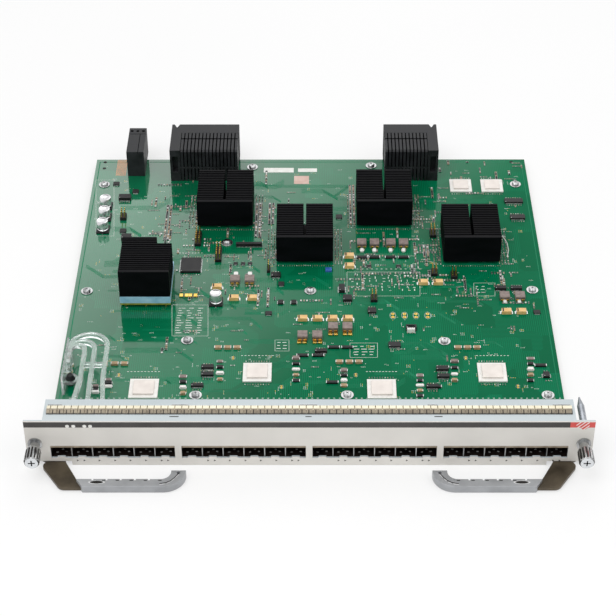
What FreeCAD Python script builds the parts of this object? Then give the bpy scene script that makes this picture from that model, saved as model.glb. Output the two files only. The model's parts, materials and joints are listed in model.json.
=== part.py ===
"""Switch line card: faceplate with ports, board, heatsinks, rear connectors, ejectors, captive screws.

Millimetres. +X is right as seen from the front, +Y runs from the faceplate to the rear, +Z is up.
The origin is on the rear face of the faceplate, at its bottom edge and half way along it.
"""
import FreeCAD, Part
import math
import os
import Sketcher

V = FreeCAD.Vector
doc = FreeCAD.newDocument("switch_line_card")
sheet = doc.addObject("Spreadsheet::Sheet", "sizes")

# The driving sizes: alias, value in millimetres or a plain count, what it is
SIZES = (
    # faceplate
    ("panel_ear", 14.2, "faceplate beyond the cages' share of its width, at each end"),
    ("panel_height", 40.0, "faceplate"),
    ("sheet_metal", 1.6, "faceplate sheet"),
    ("flange_margin", 1.4, "top return flange beyond the cages' share, at each end"),
    ("flange_depth", 21.2, "top return flange, behind the rear face"),
    ("ferrule_inset", 6.4, "captive screw axis, in from the faceplate's end"),
    ("guide_pin_inset", 7.4, "guide pin axis, in from the faceplate's end"),
    ("guide_pin_drop", 4.8, "guide pin axis, below the faceplate's top"),
    # ports
    ("port_pitch", 14.25, "pluggable transceiver ports in one ganged cage"),
    ("port_width", 13.65, "clear width of a port"),
    ("port_clear_height", 8.8, "clear height of a port"),
    ("ports_per_cage", 6, "count"),
    ("cage_count", 4, "count"),
    ("cage_gap", 4.1, "from the last port of one cage to the first of the next, beyond the ports' pitch"),
    ("cage_sheet", 0.5, "cage wall"),
    ("cage_depth", 48.0, "front to back"),
    ("cage_setback", 0.4, "cage front behind the faceplate's rear face"),
    ("port_tab_width", 6.0, "tab under each port"),
    ("port_tab_height", 1.1, "tab under each port"),
    ("port_tab_taper", 0.5, "slant at each end of a tab"),
    ("port_gasket_height", 2.0, "spring strip over the cage"),
    ("port_connector_depth", 9.0, "edge connector at the back of a port"),
    ("port_connector_height", 6.4, "edge connector at the back of a port"),
    ("port_connector_margin", 1.2, "edge connector in from the port's sides"),
    ("port_slot_height", 1.6, "card slot of the edge connector"),
    ("port_slot_depth", 6.3, "card slot of the edge connector"),
    ("port_slot_margin", 1.0, "card slot in from the connector's sides"),
    ("port_slot_rise", 0.4, "card slot over the connector's middle"),
    ("port_gasket_lap", 1.1, "spring strip before the faceplate's rear face"),
    ("port_gasket_reach", 3.0, "spring strip behind the faceplate's rear face"),
    # board and tray
    ("board_margin", 2.6, "circuit board beyond the cages' share, at each side"),
    ("board_length", 368.0, "circuit board"),
    ("board_sheet", 2.4, "circuit board"),
    ("board_front", 3.0, "board edge behind the faceplate"),
    ("board_underside", 3.5, "height of the board's lower face"),
    ("board_notch_width", 26.0, "front corner notch for the ejector"),
    ("board_notch_length", 22.0, "front corner notch for the ejector"),
    ("tray_sheet", 1.2, "carrier tray"),
    ("tray_inset", 4.0, "tray side in from the board's side"),
    ("tray_rear_inset", 4.0, "tray rear in from the board's rear"),
    ("tray_notch_width", 6.0, "tray's front part in from the board's"),
    ("tray_notch_length", 8.0, "tray's corner notch behind the board's"),
    ("standoff_radius", 3.2, "under the board"),
    ("screw_radius", 1.5, "board screw shank"),
    ("screw_hole_gap", 0.15, "round a board screw shank"),
    ("washer_radius", 4.6, "board screw washer"),
    ("washer_sheet", 0.7, "board screw washer"),
    ("screw_head_radius", 2.9, "board screw head"),
    ("screw_head_height", 2.0, "board screw head"),
    # finger gasket on the flange
    ("gasket_margin", 2.1, "spring finger strip in from the flange's ends"),
    ("gasket_depth", 8.4, "spring finger strip"),
    ("gasket_setback", 5.6, "strip behind the faceplate's rear face"),
    ("gasket_height", 1.9, "crown of the fingers over the flange"),
    ("gasket_metal", 0.5, "spring strip"),
    ("gasket_front_slope", 3.4, "sloping front of the fingers"),
    ("gasket_rear_slope", 1.4, "sloping rear of the fingers"),
    ("finger_pitch", 4.7, "from finger to finger"),
    ("finger_slot", 0.6, "gap between two fingers"),
    # chips
    ("port_chip_side", 20.8, "bare chip behind each cage"),
    ("rear_chip_side", 18.0, "bare chips at the rear right"),
    ("chip_substrate", 1.2, "thickness"),
    ("chip_lid", 1.3, "thickness"),
    ("chip_lid_margin", 2.9, "lid in from the substrate's edge"),
    ("asic_side", 37.5, "package under a heatsink"),
    ("asic_height", 2.6, "package under a heatsink"),
    # finned heatsinks
    ("heatsink_width", 44.5, "across"),
    ("heatsink_length", 46.0, "front to back"),
    ("heatsink_height", 23.3, "with its base"),
    ("heatsink_base", 3.2, "thickness"),
    ("fin_count", 18, "count"),
    ("fin_sheet", 1.1, "thickness"),
    ("fin_front", 3.2, "thickness of the first fin"),
    ("cross_cut", 2.0, "gap through all fins"),
    # power module
    ("module_width", 38.4, "across"),
    ("module_length", 45.2, "front to back"),
    ("module_notch_width", 12.0, "rear right corner"),
    ("module_notch_length", 8.0, "rear right corner"),
    ("module_board_gap", 2.6, "under the module's board"),
    ("module_board_sheet", 1.6, "thickness"),
    ("module_plate_height", 6.2, "light base plate with the parts"),
    ("module_fins_height", 23.4, "black heatsink"),
    ("module_pin_radius", 0.9, "solder pins"),
    ("module_pin_inset", 4.0, "solder pins in from the module's sides"),
    ("module_pin_setback", 3.0, "solder pins in from the module's front and rear"),
    # rear connectors
    ("wafer_pitch", 3.0, "from wafer to wafer"),
    ("wafer_sheet", 2.1, "thickness"),
    ("left_wafers", 16, "count"),
    ("right_wafers", 12, "count"),
    ("connector_height", 30.1, "over the board"),
    ("connector_depth", 40.6, "front to back"),
    ("connector_overhang", 8.2, "behind the board"),
    ("hood_depth", 13.4, "closed rear part"),
    ("hood_wall", 1.2, "wall of the hood"),
    ("guide_block_width", 8.6, "at the outer end"),
    ("wafer_rail", 1.2, "square rail across the wafers"),
    ("wafer_rail_height", 12.3, "rail over the board"),
    ("wafer_chamfer", 1.4, "front upper edge"),
    ("wafer_slot_width", 1.6, "slot in a wafer's top"),
    ("wafer_slot_depth", 1.2, "slot in a wafer's top"),
    ("wafer_slot_setback", 17.4, "slot behind the wafer's front"),
    ("hood_floor", 3.0, "front wall of the hood"),
    ("guide_window_margin", 2.0, "window in from the guide block's sides"),
    ("guide_window_low", 9.0, "window over the board"),
    ("guide_window_drop", 6.0, "window below the block's top"),
    ("guide_window_depth", 5.0, "front to back"),
    ("guide_notch_width", 5.2, "V notch at its mouth"),
    ("guide_notch_point", 0.4, "V notch at its bottom"),
    ("guide_notch_depth", 4.5, "front to back"),
    ("guide_notch_low", 4.5, "V notch over the board"),
    ("power_cells", 3, "count"),
    ("power_cell_wall", 0.7, "half the wall between two pockets"),
    ("power_pocket_depth", 9.0, "pocket before the block's rear"),
    ("power_pocket_low", 3.0, "pocket over the board"),
    ("power_pocket_drop", 2.4, "pocket below the block's top"),
    ("power_slot_width", 2.2, "slot over each pocket"),
    ("power_slot_length", 2.6, "slot over each pocket"),
    ("power_slot_setback", 3.4, "slot before the block's rear"),
    ("power_groove_width", 0.6, "groove across the block's top"),
    ("power_groove_depth", 0.8, "groove across the block's top"),
    ("power_split_width", 0.5, "split along the block's top"),
    ("power_split_depth", 2.0, "split along the block's top"),
    ("blade_clearance", 2.0, "over and under a blade in its pocket"),
    ("blade_setback", 1.0, "blade before the block's rear"),
    ("power_connector_width", 14.4, "across"),
    ("power_connector_height", 24.1, "over the board"),
    ("power_connector_depth", 37.2, "front to back"),
    ("power_connector_overhang", 12.0, "behind the board"),
    ("blade_sheet", 1.2, "power contact"),
    # parts on the board
    ("can_radius", 4.6, "electrolytic can"),
    ("can_height", 8.6, "over its base"),
    ("can_base", 10.4, "square base"),
    ("can_base_height", 1.4, "square base"),
    ("tantalum_length", 7.3, "along X"),
    ("tantalum_width", 4.4, "along Y"),
    ("tantalum_height", 3.0, "over the board"),
    ("coil_side", 7.4, "power inductor"),
    ("coil_height", 4.2, "power inductor"),
    ("header_pitch", 2.54, "pin header"),
    ("header_body", 2.6, "height of the pin block"),
    ("header_pin", 0.64, "square pin"),
    ("header_pin_height", 8.2, "over the board"),
    # light pipes
    ("pipe_side", 3.2, "square light pipe"),
    ("pipe_height", 20.0, "middle of the pipes over the tray's underside"),
    ("pipe_foot", 1.6, "thickness of the foot that stands on the board"),
    ("pipe_link", 1.4, "square links between the pipes"),
    ("pipe_lug_radius", 5.6, "lug round the rivet"),
    ("pipe_lug_height", 4.6, "underside of the lug over the board"),
    ("pipe_lug_sheet", 1.8, "lug round the rivet"),
    ("rivet_radius", 1.6, "push rivet's stem"),
    ("rivet_cap_radius", 3.6, "push rivet's cap"),
    ("rivet_cap_height", 3.4, "push rivet's cap"),
    ("rivet_cap_top", 2.2, "radius of the cap's top"),
    ("light_source_height", 1.8, "light sources over the board"),
    ("light_source_length", 2.6, "front to back"),
    ("light_source_gap", 0.3, "between a light source and its pipe"),
    ("window_height", 35.6, "middle of the light windows"),
    ("window_width", 2.6, "light window"),
    ("window_tall", 2.2, "light window"),
    # ejectors, in and out measured along the faceplate from the pivot
    ("pivot_inset", 17.4, "pivot in from the faceplate's end"),
    ("pivot_setback", 9.4, "pivot behind the faceplate's rear face"),
    ("pivot_radius", 2.5, "pivot rivet"),
    ("pivot_head_radius", 4.2, "pivot rivet's heads"),
    ("pivot_head", 0.9, "thickness of the upper head"),
    ("pivot_foot", 0.4, "thickness of the lower head"),
    ("pivot_gap", 0.06, "running gap round the rivet"),
    ("arm_notch_inset", 30.4, "inner end of the faceplate's notch, in from the faceplate's end"),
    ("arm_notch_gap", 0.5, "faceplate's notch over the arm"),
    ("arm_underside", 0.8, "ejector arm over the underside"),
    ("arm_sheet", 2.4, "ejector arm"),
    ("arm_reach", 27.6, "front of the arm before the faceplate's rear face"),
    ("arm_mouth_inner", 8.4, "arm's inner edge at the faceplate, in from the pivot"),
    ("arm_mouth_outer", 4.0, "arm's outer edge at the faceplate, out from the pivot"),
    ("arm_shoulder", 7.9, "arm's widest place, out from the pivot"),
    ("arm_shoulder_reach", 5.0, "arm's widest place before the faceplate's rear face"),
    ("arm_foot_inner", 22.0, "arm's inner edge at its front, in from the pivot"),
    ("arm_foot_outer", 7.0, "arm's outer edge at its front, in from the pivot"),
    ("arm_shoulder_round", 4.0, "rounding"),
    ("arm_foot_round", 6.0, "rounding"),
    ("arm_boss_radius", 8.0, "arm round the pivot"),
    ("claw_reach", 14.0, "claws out from the pivot"),
    ("claw_gap", 4.0, "between the two claws"),
    ("claw_width", 3.4, "each claw"),
    ("claw_slope", 2.4, "slanting tip of a claw"),
    ("claw_blunt", 1.2, "straight tip of a claw"),
    ("claw_root", 0.5, "slot between the claws, out from the boss"),
    ("tongue_length", 20.0, "arm's tongue inside the grip"),
    ("tongue_margin", 1.8, "grip before and behind the tongue"),
    ("grip_underside", 0.2, "grip over the underside"),
    ("grip_height", 5.8, "ejector grip"),
    ("grip_reach", 29.0, "front of the grip before the faceplate's rear face"),
    ("grip_bar", 7.2, "grip, front to back"),
    ("grip_heel", 17.9, "grip's outer end, in from the pivot"),
    ("grip_heel_slant", 4.5, "how much further in the front of that end is"),
    ("grip_neck", 82.0, "inner side of the bent end, in from the pivot"),
    ("grip_tip", 92.1, "grip's inner end, in from the pivot"),
    ("grip_pad_reach", 13.3, "rear of the bent end before the faceplate's rear face"),
    ("grip_inside_round", 7.0, "bend"),
    ("grip_outside_round", 15.0, "bend"),
    ("grip_eye_radius", 1.2, "hole in the bent end"),
    ("grip_eye_inset", 1.0, "hole in from the end's rear edge"),
    ("grip_gap", 0.1, "round the tongue of the arm"),
    ("grip_nick", 1.2, "square nicks in the grip's rear edge"),
    ("grip_nick_pitch", 9.6, "from nick to nick"),
    ("grip_nicks", 5, "count"),
    ("bracket_sheet", 1.2, "ejector bracket"),
    ("bracket_gap", 0.1, "between the arm and what holds it"),
    ("bracket_wall", 9.0, "height of the wall over the shelf"),
    ("bracket_in", 9.0, "shelf in from the pivot"),
    ("bracket_out", 15.4, "shelf out from the pivot"),
    ("bracket_behind", 6.0, "shelf behind the pivot"),
    ("bracket_wall_in", 2.4, "wall's inner end, out from the pivot"),
    # captive screws
    ("knob_radius", 5.0, "knurled knob"),
    ("knob_length", 12.2, "knurled knob"),
    ("knob_reach", 21.6, "knob face in front of the faceplate's rear face"),
    ("knob_wall", 1.0, "wall of the knob's cup"),
    ("knob_floor", 2.6, "thickness of the knob's face"),
    ("knob_chamfer", 0.6, "round the knob's face"),
    ("recess_length", 4.8, "cross recess"),
    ("recess_width", 0.9, "cross recess"),
    ("recess_depth", 1.4, "cross recess"),
    ("shank_radius", 2.2, "captive screw"),
    ("shank_tail", 2.3, "captive screw behind its ring"),
    ("ferrule_radius", 3.5, "captive screw ferrule"),
    ("ferrule_bore", 2.6, "captive screw ferrule"),
    ("ferrule_reach", 8.4, "ferrule in front of the rear face"),
    ("ferrule_tail", 0.6, "ferrule behind the rear face"),
    ("ferrule_flange_radius", 5.0, "ring against the faceplate"),
    ("ferrule_flange", 1.0, "thickness of that ring"),
    ("ring_gap", 0.15, "retaining ring behind the ferrule"),
    ("ring_sheet", 0.7, "retaining ring"),
    ("ring_radius", 3.3, "retaining ring"),
    ("groove_depth", 0.5, "groove for the retaining ring"),
    ("groove_gap", 0.05, "round the retaining ring"),
    ("spring_wire", 0.7, "captive screw spring"),
    ("spring_gap", 0.1, "at both ends of the spring"),
    ("guide_pin_radius", 2.5, "guide pin"),
    ("guide_pin_collar", 4.0, "radius of the collar behind the faceplate"),
    ("guide_pin_collar_sheet", 1.4, "thickness of the collar"),
    ("guide_pin_point", 0.35, "radius of the cone's tip"),
    ("guide_pin_length", 29.0, "guide pin behind the faceplate, with its tip"),
    ("guide_pin_tip", 9.7, "guide pin's cone"),
)
for row_number, (alias, value, note) in enumerate(SIZES, start=1):
    sheet.set(f"A{row_number}", alias)
    sheet.set(f"B{row_number}", str(value))
    sheet.setAlias(f"B{row_number}", alias)
    sheet.set(f"C{row_number}", note)
doc.recompute()


class Size:
    """A length that knows its number and the formula over the sheet that gives it."""

    def __init__(self, number, formula=None):
        self.number = number
        self.formula = formula if formula is not None else repr(float(number))

    @staticmethod
    def of(other):
        return other if isinstance(other, Size) else Size(other)

    def join(self, other, sign, number):
        return Size(number, f"({self.formula} {sign} {Size.of(other).formula})")

    def __add__(self, other):
        return self.join(other, "+", self.number + Size.of(other).number)

    def __sub__(self, other):
        return self.join(other, "-", self.number - Size.of(other).number)

    def __mul__(self, other):
        return self.join(other, "*", self.number * Size.of(other).number)

    def __truediv__(self, other):
        return self.join(other, "/", self.number / Size.of(other).number)

    def __radd__(self, other):
        return Size.of(other) + self

    def __rsub__(self, other):
        return Size.of(other) - self

    def __rmul__(self, other):
        return Size.of(other) * self

    def __neg__(self):
        return Size.of(0) - self


class Sizes:
    """Reads a named size from the sheet."""

    def __getattr__(self, alias):
        return Size(float(sheet.get(alias)), f"sizes.{alias}")


s = Sizes()


def bind(target, path, size):
    target.setExpression(path, Size.of(size).formula)


def place(target, x=0, y=0, z=0):
    for letter, size in zip("xyz", (x, y, z)):
        bind(target, f"Placement.Base.{letter}", size)


def vec(x, y, z=0):
    return V(Size.of(x).number, Size.of(y).number, Size.of(z).number)


def numbers(sizes):
    return [Size.of(size).number for size in sizes]


# Helpers for bodies made of sketches
def new_body(label):
    body = doc.addObject("PartDesign::Body", label)
    body.Label = label
    return body


def origin_part(body, role):
    return next(item for item in body.Origin.OriginFeatures if item.Role == role)


def sketch_on(body, role, height=0):
    """A sketch on one of the body's own planes, lifted along that plane's normal."""
    sketch = body.newObject("Sketcher::SketchObject", body.Label + "_sketch")
    sketch.AttachmentSupport = [(origin_part(body, role), "")]
    sketch.MapMode = "FlatFace"
    bind(sketch, "AttachmentOffset.Base.z", height)
    return sketch


def polygon(sketch, points):
    """A closed outline with every corner's place bound to the sheet."""
    first, count = sketch.GeometryCount, len(points)
    for index in range(count):
        start, end = points[index], points[(index + 1) % count]
        sketch.addGeometry(Part.LineSegment(vec(*start), vec(*end)), False)
    for index in range(count):
        ends = (first + index, 2, first + (index + 1) % count, 1)
        sketch.addConstraint(Sketcher.Constraint("Coincident", *ends))
    for index, point in enumerate(points):
        for kind, size in zip(("DistanceX", "DistanceY"), point):
            rule = Sketcher.Constraint(kind, -1, 1, first + index, 1, Size.of(size).number)
            bind(sketch, f"Constraints[{sketch.addConstraint(rule)}]", size)


def rectangle(sketch, x0, y0, x1, y1):
    polygon(sketch, [(x0, y0), (x1, y0), (x1, y1), (x0, y1)])


def circle(sketch, x, y, radius):
    index = sketch.addGeometry(Part.Circle(vec(x, y), V(0, 0, 1), Size.of(radius).number), False)
    for kind, size in (("DistanceX", x), ("DistanceY", y)):
        rule = Sketcher.Constraint(kind, -1, 1, index, 3, Size.of(size).number)
        bind(sketch, f"Constraints[{sketch.addConstraint(rule)}]", size)
    rule = Sketcher.Constraint("Radius", index, Size.of(radius).number)
    bind(sketch, f"Constraints[{sketch.addConstraint(rule)}]", radius)


def pad(body, sketch, length):
    feature = body.newObject("PartDesign::Pad", body.Label + "_pad")
    feature.Profile = sketch
    bind(feature, "Length", length)
    doc.recompute()
    return feature


def pocket(body, sketch, length):
    """A cut from the sketch along its plane's normal, which has to take material away."""
    before = body.Shape.Volume
    feature = body.newObject("PartDesign::Pocket", body.Label + "_pocket")
    feature.Profile = sketch
    feature.Reversed = True
    bind(feature, "Length", length)
    doc.recompute()
    if body.Shape.Volume >= before - 1e-6:
        raise RuntimeError(f"{feature.Label} cuts nothing")
    return feature


def revolve(body, sketch, axis_role):
    feature = body.newObject("PartDesign::Revolution", body.Label + "_turned")
    feature.Profile = sketch
    feature.ReferenceAxis = (origin_part(body, axis_role), [""])
    feature.Angle = 360
    doc.recompute()
    return feature


def line_up(body, feature, axis_role, count, pitch):
    """Repeats a feature along one of the body's axes."""
    pattern = body.newObject("PartDesign::LinearPattern", body.Label + "_row")
    pattern.Originals = [feature]
    pattern.Direction = (origin_part(body, axis_role), [""])
    bind(pattern, "Length", (count - 1) * pitch)
    bind(pattern, "Occurrences", count)
    body.Tip = pattern
    doc.recompute()
    return pattern


def round_edges(body, radius, chosen):
    """Fillets the edges that the given test picks."""
    base = body.Tip
    names = [f"Edge{i}" for i, edge in enumerate(base.Shape.Edges, start=1) if chosen(edge)]
    if not names:
        raise RuntimeError(f"{body.Label} has no edge to round")
    feature = body.newObject("PartDesign::Fillet", body.Label + "_rounding")
    feature.Base = (base, names)
    bind(feature, "Radius", radius)
    doc.recompute()
    return feature


def upright(edge):
    """Is this straight edge parallel to Z?"""
    if not isinstance(edge.Curve, (Part.Line, Part.LineSegment)):
        return False
    box = edge.BoundBox
    return box.XLength < 1e-4 and box.YLength < 1e-4


# Helpers for primitives and booleans
def box(label, x0, y0, z0, x1, y1, z1):
    """A block between two corners."""
    part = doc.addObject("Part::Box", label)
    for path, low, high in (("Length", x0, x1), ("Width", y0, y1), ("Height", z0, z1)):
        bind(part, path, Size.of(high) - low)
    place(part, x0, y0, z0)
    return part


def block(label, x, y, z0, width, length, z1):
    """A block centred on x, y between two heights."""
    half_width, half_length = Size.of(width) / 2, Size.of(length) / 2
    return box(label, x - half_width, y - half_length, z0, x + half_width, y + half_length, z1)


def cylinder(label, x, y, z0, radius, z1):
    part = doc.addObject("Part::Cylinder", label)
    bind(part, "Radius", radius)
    bind(part, "Height", Size.of(z1) - z0)
    place(part, x, y, z0)
    return part


def prism(label, sides, x, y, z0, radius, z1):
    """An upright prism, which is what small repeated round parts are simplified to."""
    part = doc.addObject("Part::Prism", label)
    part.Polygon = sides
    bind(part, "Circumradius", radius)
    bind(part, "Height", Size.of(z1) - z0)
    place(part, x, y, z0)
    return part


# how far a cutting block runs past the face that it opens
OVER = 1


def joined(kind, label, parts):
    node = doc.addObject(kind, label)
    node.Label = label
    if kind == "Part::Compound":
        node.Links = parts
    elif kind == "Part::Cut":
        node.Base, node.Tool = parts
    else:
        node.Shapes = parts
    return node


def compound(label, parts):
    return joined("Part::Compound", label, parts)


def fuse(label, parts):
    return joined("Part::MultiFuse", label, parts)


def cut(label, base, tool):
    return joined("Part::Cut", label, [base, tool])


def shaped(label, shape, x=0, y=0, z=0):
    """A node whose shape is worked out here from the sheet's sizes."""
    node = doc.addObject("Part::Feature", label)
    node.Label = label
    node.Shape = shape
    place(node, x, y, z)
    return node


nodes = []


def keep(node):
    """Marks a finished sub-part, which gets a file of its own."""
    nodes.append(node)
    return node


# Places that several pieces share
board_top = s.board_underside + s.board_sheet
board_rear = s.board_front + s.board_length
cage_pitch = s.port_pitch * s.ports_per_cage + s.cage_gap
cages_width = cage_pitch * s.cage_count
panel_width = cages_width + 2 * s.panel_ear
flange_width = cages_width + 2 * s.flange_margin
gasket_length = flange_width - 2 * s.gasket_margin
board_width = cages_width + 2 * s.board_margin
panel_half = panel_width / 2
board_half = board_width / 2
cage_width = s.port_pitch * s.ports_per_cage + (s.port_pitch - s.port_width)
cage_height = s.port_clear_height + 2 * s.cage_sheet
cage_top = board_top + cage_height
ferrule_x = panel_half - s.ferrule_inset
screw_axis_height = s.panel_height / 2
arm_top = s.arm_underside + s.arm_sheet

# the sizes at which the places below were measured
DRAWN_WIDTH, DRAWN_LENGTH, DRAWN_PANEL = 363.6, 371.0, 386.8


def on_board(x, y):
    """A place on the board, which spreads with the board's width and length."""
    return board_width * (x / DRAWN_WIDTH), board_rear * (y / DRAWN_LENGTH)


def on_panel(x):
    return panel_width * (x / DRAWN_PANEL)


def cage_middle(index):
    return (index - (s.cage_count - 1) / 2) * cage_pitch


# Faceplate
SCREW_PLACES = (
    (-171.8, 186.7), (-91.1, 126.5), (-66.4, 250.1), (0.3, 187.0), (100.0, 125.6), (171.2, 188.0),
    (170.6, 64.5), (27.1, 64.7), (-81.6, 64.4), (-49.1, 358.8), (51.3, 361.1), (-172.0, 332.7),
    (170.9, 332.8),
)
WINDOW_PLACES = (-163.6, -159.5, -152.4, -148.1)
# sides of the prisms that stand for small round parts
SHANK_SIDES, HEAD_SIDES = 6, 8


def make_faceplate():
    body = new_body("faceplate")
    plate = sketch_on(body, "XZ_Plane")
    notch_top, notch = arm_top + s.arm_notch_gap, panel_half - s.arm_notch_inset
    polygon(plate, [
        (-panel_half, notch_top), (-notch, notch_top), (-notch, 0), (notch, 0), (notch, notch_top),
        (panel_half, notch_top), (panel_half, s.panel_height), (-panel_half, s.panel_height),
    ])
    pad(body, plate, s.sheet_metal)

    opening = sketch_on(body, "XZ_Plane")
    left = cage_middle(Size(0)) - cage_width / 2 + s.cage_sheet
    bottom, top = board_top + s.cage_sheet, cage_top + s.port_gasket_height
    points = [(left, top), (left, bottom)]
    for port in range(int(s.ports_per_cage.number)):
        middle = cage_middle(Size(0)) + (port - (s.ports_per_cage - 1) / 2) * s.port_pitch
        foot = s.port_tab_width / 2
        head = foot - s.port_tab_taper
        points += [(middle - foot, bottom), (middle - head, bottom + s.port_tab_height)]
        points += [(middle + head, bottom + s.port_tab_height), (middle + foot, bottom)]
    right = left + cage_width - 2 * s.cage_sheet
    points += [(right, bottom), (right, top)]
    polygon(opening, points)
    hole = pocket(body, opening, s.sheet_metal)
    line_up(body, hole, "X_Axis", s.cage_count, cage_pitch)

    drilled = sketch_on(body, "XZ_Plane")
    for side in (-1, 1):
        circle(drilled, side * ferrule_x, screw_axis_height, s.ferrule_radius)
    circle(drilled, panel_half - s.guide_pin_inset, s.panel_height - s.guide_pin_drop, s.guide_pin_radius)
    across, tall = s.window_width / 2, s.window_tall / 2
    for x in WINDOW_PLACES:
        x = on_panel(x)
        rectangle(drilled, x - across, s.window_height - tall, x + across, s.window_height + tall)
    pocket(body, drilled, s.sheet_metal)

    flange = sketch_on(body, "YZ_Plane", -flange_width / 2)
    rectangle(flange, 0, s.panel_height - s.sheet_metal, s.flange_depth, s.panel_height)
    pad(body, flange, flange_width)
    return keep(body)


make_faceplate()


# Spring finger strip along the flange: a bowed profile cut into fingers
def make_finger_strip():
    depth, height, metal = s.gasket_depth, s.gasket_height, s.gasket_metal
    body = new_body("emi_gasket_strip")
    profile = sketch_on(body, "YZ_Plane", -gasket_length / 2)
    front, rear = s.gasket_setback, s.gasket_setback + depth
    seat = s.panel_height
    polygon(profile, [
        (front, seat), (rear, seat), (rear, seat + metal), (rear - s.gasket_rear_slope, seat + height),
        (front + s.gasket_front_slope, seat + height), (front, seat + metal),
    ])
    pad(body, profile, gasket_length)
    slot = sketch_on(body, "XY_Plane", seat + metal)
    first = s.finger_pitch / 2 - gasket_length / 2
    rectangle(slot, first, front - OVER, first + s.finger_slot, rear - s.gasket_rear_slope)
    slots = pocket(body, slot, height)
    count = Size(math.floor((gasket_length.number - s.finger_pitch.number) / s.finger_pitch.number) + 1)
    line_up(body, slots, "X_Axis", count, s.finger_pitch)
    return keep(body)


make_finger_strip()


# Circuit board with notched front corners and its screw holes
def make_board():
    body = new_body("circuit_board")
    outline = sketch_on(body, "XY_Plane", s.board_underside)
    inner, notch = board_half - s.board_notch_width, s.board_front + s.board_notch_length
    polygon(outline, [
        (-board_half, notch), (-inner, notch), (-inner, s.board_front), (inner, s.board_front),
        (inner, notch), (board_half, notch), (board_half, board_rear), (-board_half, board_rear),
    ])
    radius = s.screw_radius + s.screw_hole_gap
    angles = [2 * math.pi * corner / SHANK_SIDES for corner in range(SHANK_SIDES)]
    for spot in SCREW_PLACES:
        x, y = on_board(*spot)
        polygon(outline, [(x + radius * math.cos(a), y + radius * math.sin(a)) for a in angles])
    pad(body, outline, s.board_sheet)
    return keep(body)


make_board()


# Carrier tray under the board: a shallow pan whose walls the board rests on
def make_tray():
    body = new_body("carrier_tray")
    half, rear = board_half - s.tray_inset, board_rear - s.tray_rear_inset
    floor = sketch_on(body, "XY_Plane")
    notch_half = board_half - s.board_notch_width - s.tray_notch_width
    notch = s.board_front + s.board_notch_length + s.tray_notch_length
    outline = [
        (-half, notch), (-notch_half, notch), (-notch_half, 0), (notch_half, 0),
        (notch_half, notch), (half, notch), (half, rear), (-half, rear),
    ]
    polygon(floor, outline)
    pad(body, floor, s.board_underside)
    inside = sketch_on(body, "XY_Plane", s.tray_sheet)
    wall = s.tray_sheet
    polygon(inside, [
        (-half + wall, notch + wall), (-notch_half + wall, notch + wall), (-notch_half + wall, wall),
        (notch_half - wall, wall), (notch_half - wall, notch + wall), (half - wall, notch + wall),
        (half - wall, rear - wall), (-half + wall, rear - wall),
    ])
    pocket(body, inside, s.board_underside)
    return keep(body)


make_tray()


def make_board_fastening():
    standoffs, screws = [], []
    for number, spot in enumerate(SCREW_PLACES):
        x, y = on_board(*spot)
        low, high = s.tray_sheet, s.board_underside
        post = prism(f"post_{number}", SHANK_SIDES, x, y, low, s.standoff_radius, high)
        thread = prism(f"post_bore_{number}", SHANK_SIDES, x, y, low, s.screw_radius, high)
        standoffs.append(cut(f"standoff_{number}", post, thread))
        washer_top = board_top + s.washer_sheet
        head_top = washer_top + s.screw_head_height
        screws.append(fuse(f"board_screw_{number}", [
            prism(f"shank_{number}", SHANK_SIDES, x, y, low, s.screw_radius, board_top),
            prism(f"washer_{number}", HEAD_SIDES, x, y, board_top, s.washer_radius, washer_top),
            prism(f"head_{number}", HEAD_SIDES, x, y, washer_top, s.screw_head_radius, head_top),
        ]))
    keep(compound("tray_standoffs", standoffs))
    keep(compound("board_screws", screws))


make_board_fastening()


# Ganged port cages: a folded shell, plate dividers and an edge connector at the back of each port
def make_port_group(number):
    middle = cage_middle(Size(number))
    front, rear = s.cage_setback, s.cage_setback + s.cage_depth
    left, right, wall = middle - cage_width / 2, middle + cage_width / 2, s.cage_sheet
    label = f"port_cage_{number + 1}"
    connector_front = rear - wall - s.port_connector_depth
    shell = box(f"{label}_outside", left, front, board_top, right, rear, cage_top)
    hollow = box(
        f"{label}_inside", left + wall, front - OVER, board_top + wall, right - wall, rear - wall,
        cage_top - wall)
    drop = box(
        f"{label}_drop", left + wall, connector_front - OVER, board_top - OVER, right - wall,
        rear - wall, board_top + wall)
    keep(cut(label, shell, fuse(f"{label}_tools", [hollow, drop])))

    thickness = s.port_pitch - s.port_width
    count = int(s.ports_per_cage.number)
    dividers, connectors = [], []
    for index in range(1, count):
        x = middle + (index - s.ports_per_cage / 2) * s.port_pitch
        dividers.append(box(
            f"divider_{number}_{index}", x - thickness / 2, front, board_top + wall,
            x + thickness / 2, rear - wall, cage_top - wall))
    keep(compound(f"port_dividers_{number + 1}", dividers))
    for index in range(count):
        x = middle + (index - (s.ports_per_cage - 1) / 2) * s.port_pitch
        half = s.port_width / 2 - s.port_connector_margin
        slot_half = half - s.port_slot_margin
        slot = board_top + s.port_connector_height / 2 + s.port_slot_rise
        body_block = box(
            f"edge_block_{number}_{index}", x - half, connector_front, board_top,
            x + half, rear - wall, board_top + s.port_connector_height)
        card_slot = box(
            f"edge_slot_{number}_{index}", x - slot_half, connector_front - OVER, slot,
            x + slot_half, connector_front + s.port_slot_depth, slot + s.port_slot_height)
        connectors.append(cut(f"edge_connector_{number}_{index}", body_block, card_slot))
    keep(compound(f"port_connectors_{number + 1}", connectors))
    return box(
        f"gasket_over_cage_{number}", left + wall, -s.port_gasket_lap, cage_top, right - wall,
        s.port_gasket_reach, cage_top + s.port_gasket_height)


keep(compound("port_gaskets", [make_port_group(number) for number in range(int(s.cage_count.number))]))


# Bare chips: a substrate with a raised lid
PORT_CHIP_PLACES = ((-119.2, 71.3), (-38.0, 89.3), (51.9, 70.8), (132.6, 89.3))
REAR_CHIP_PLACES = ((125.1, 330.2), (151.0, 330.1))


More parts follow.
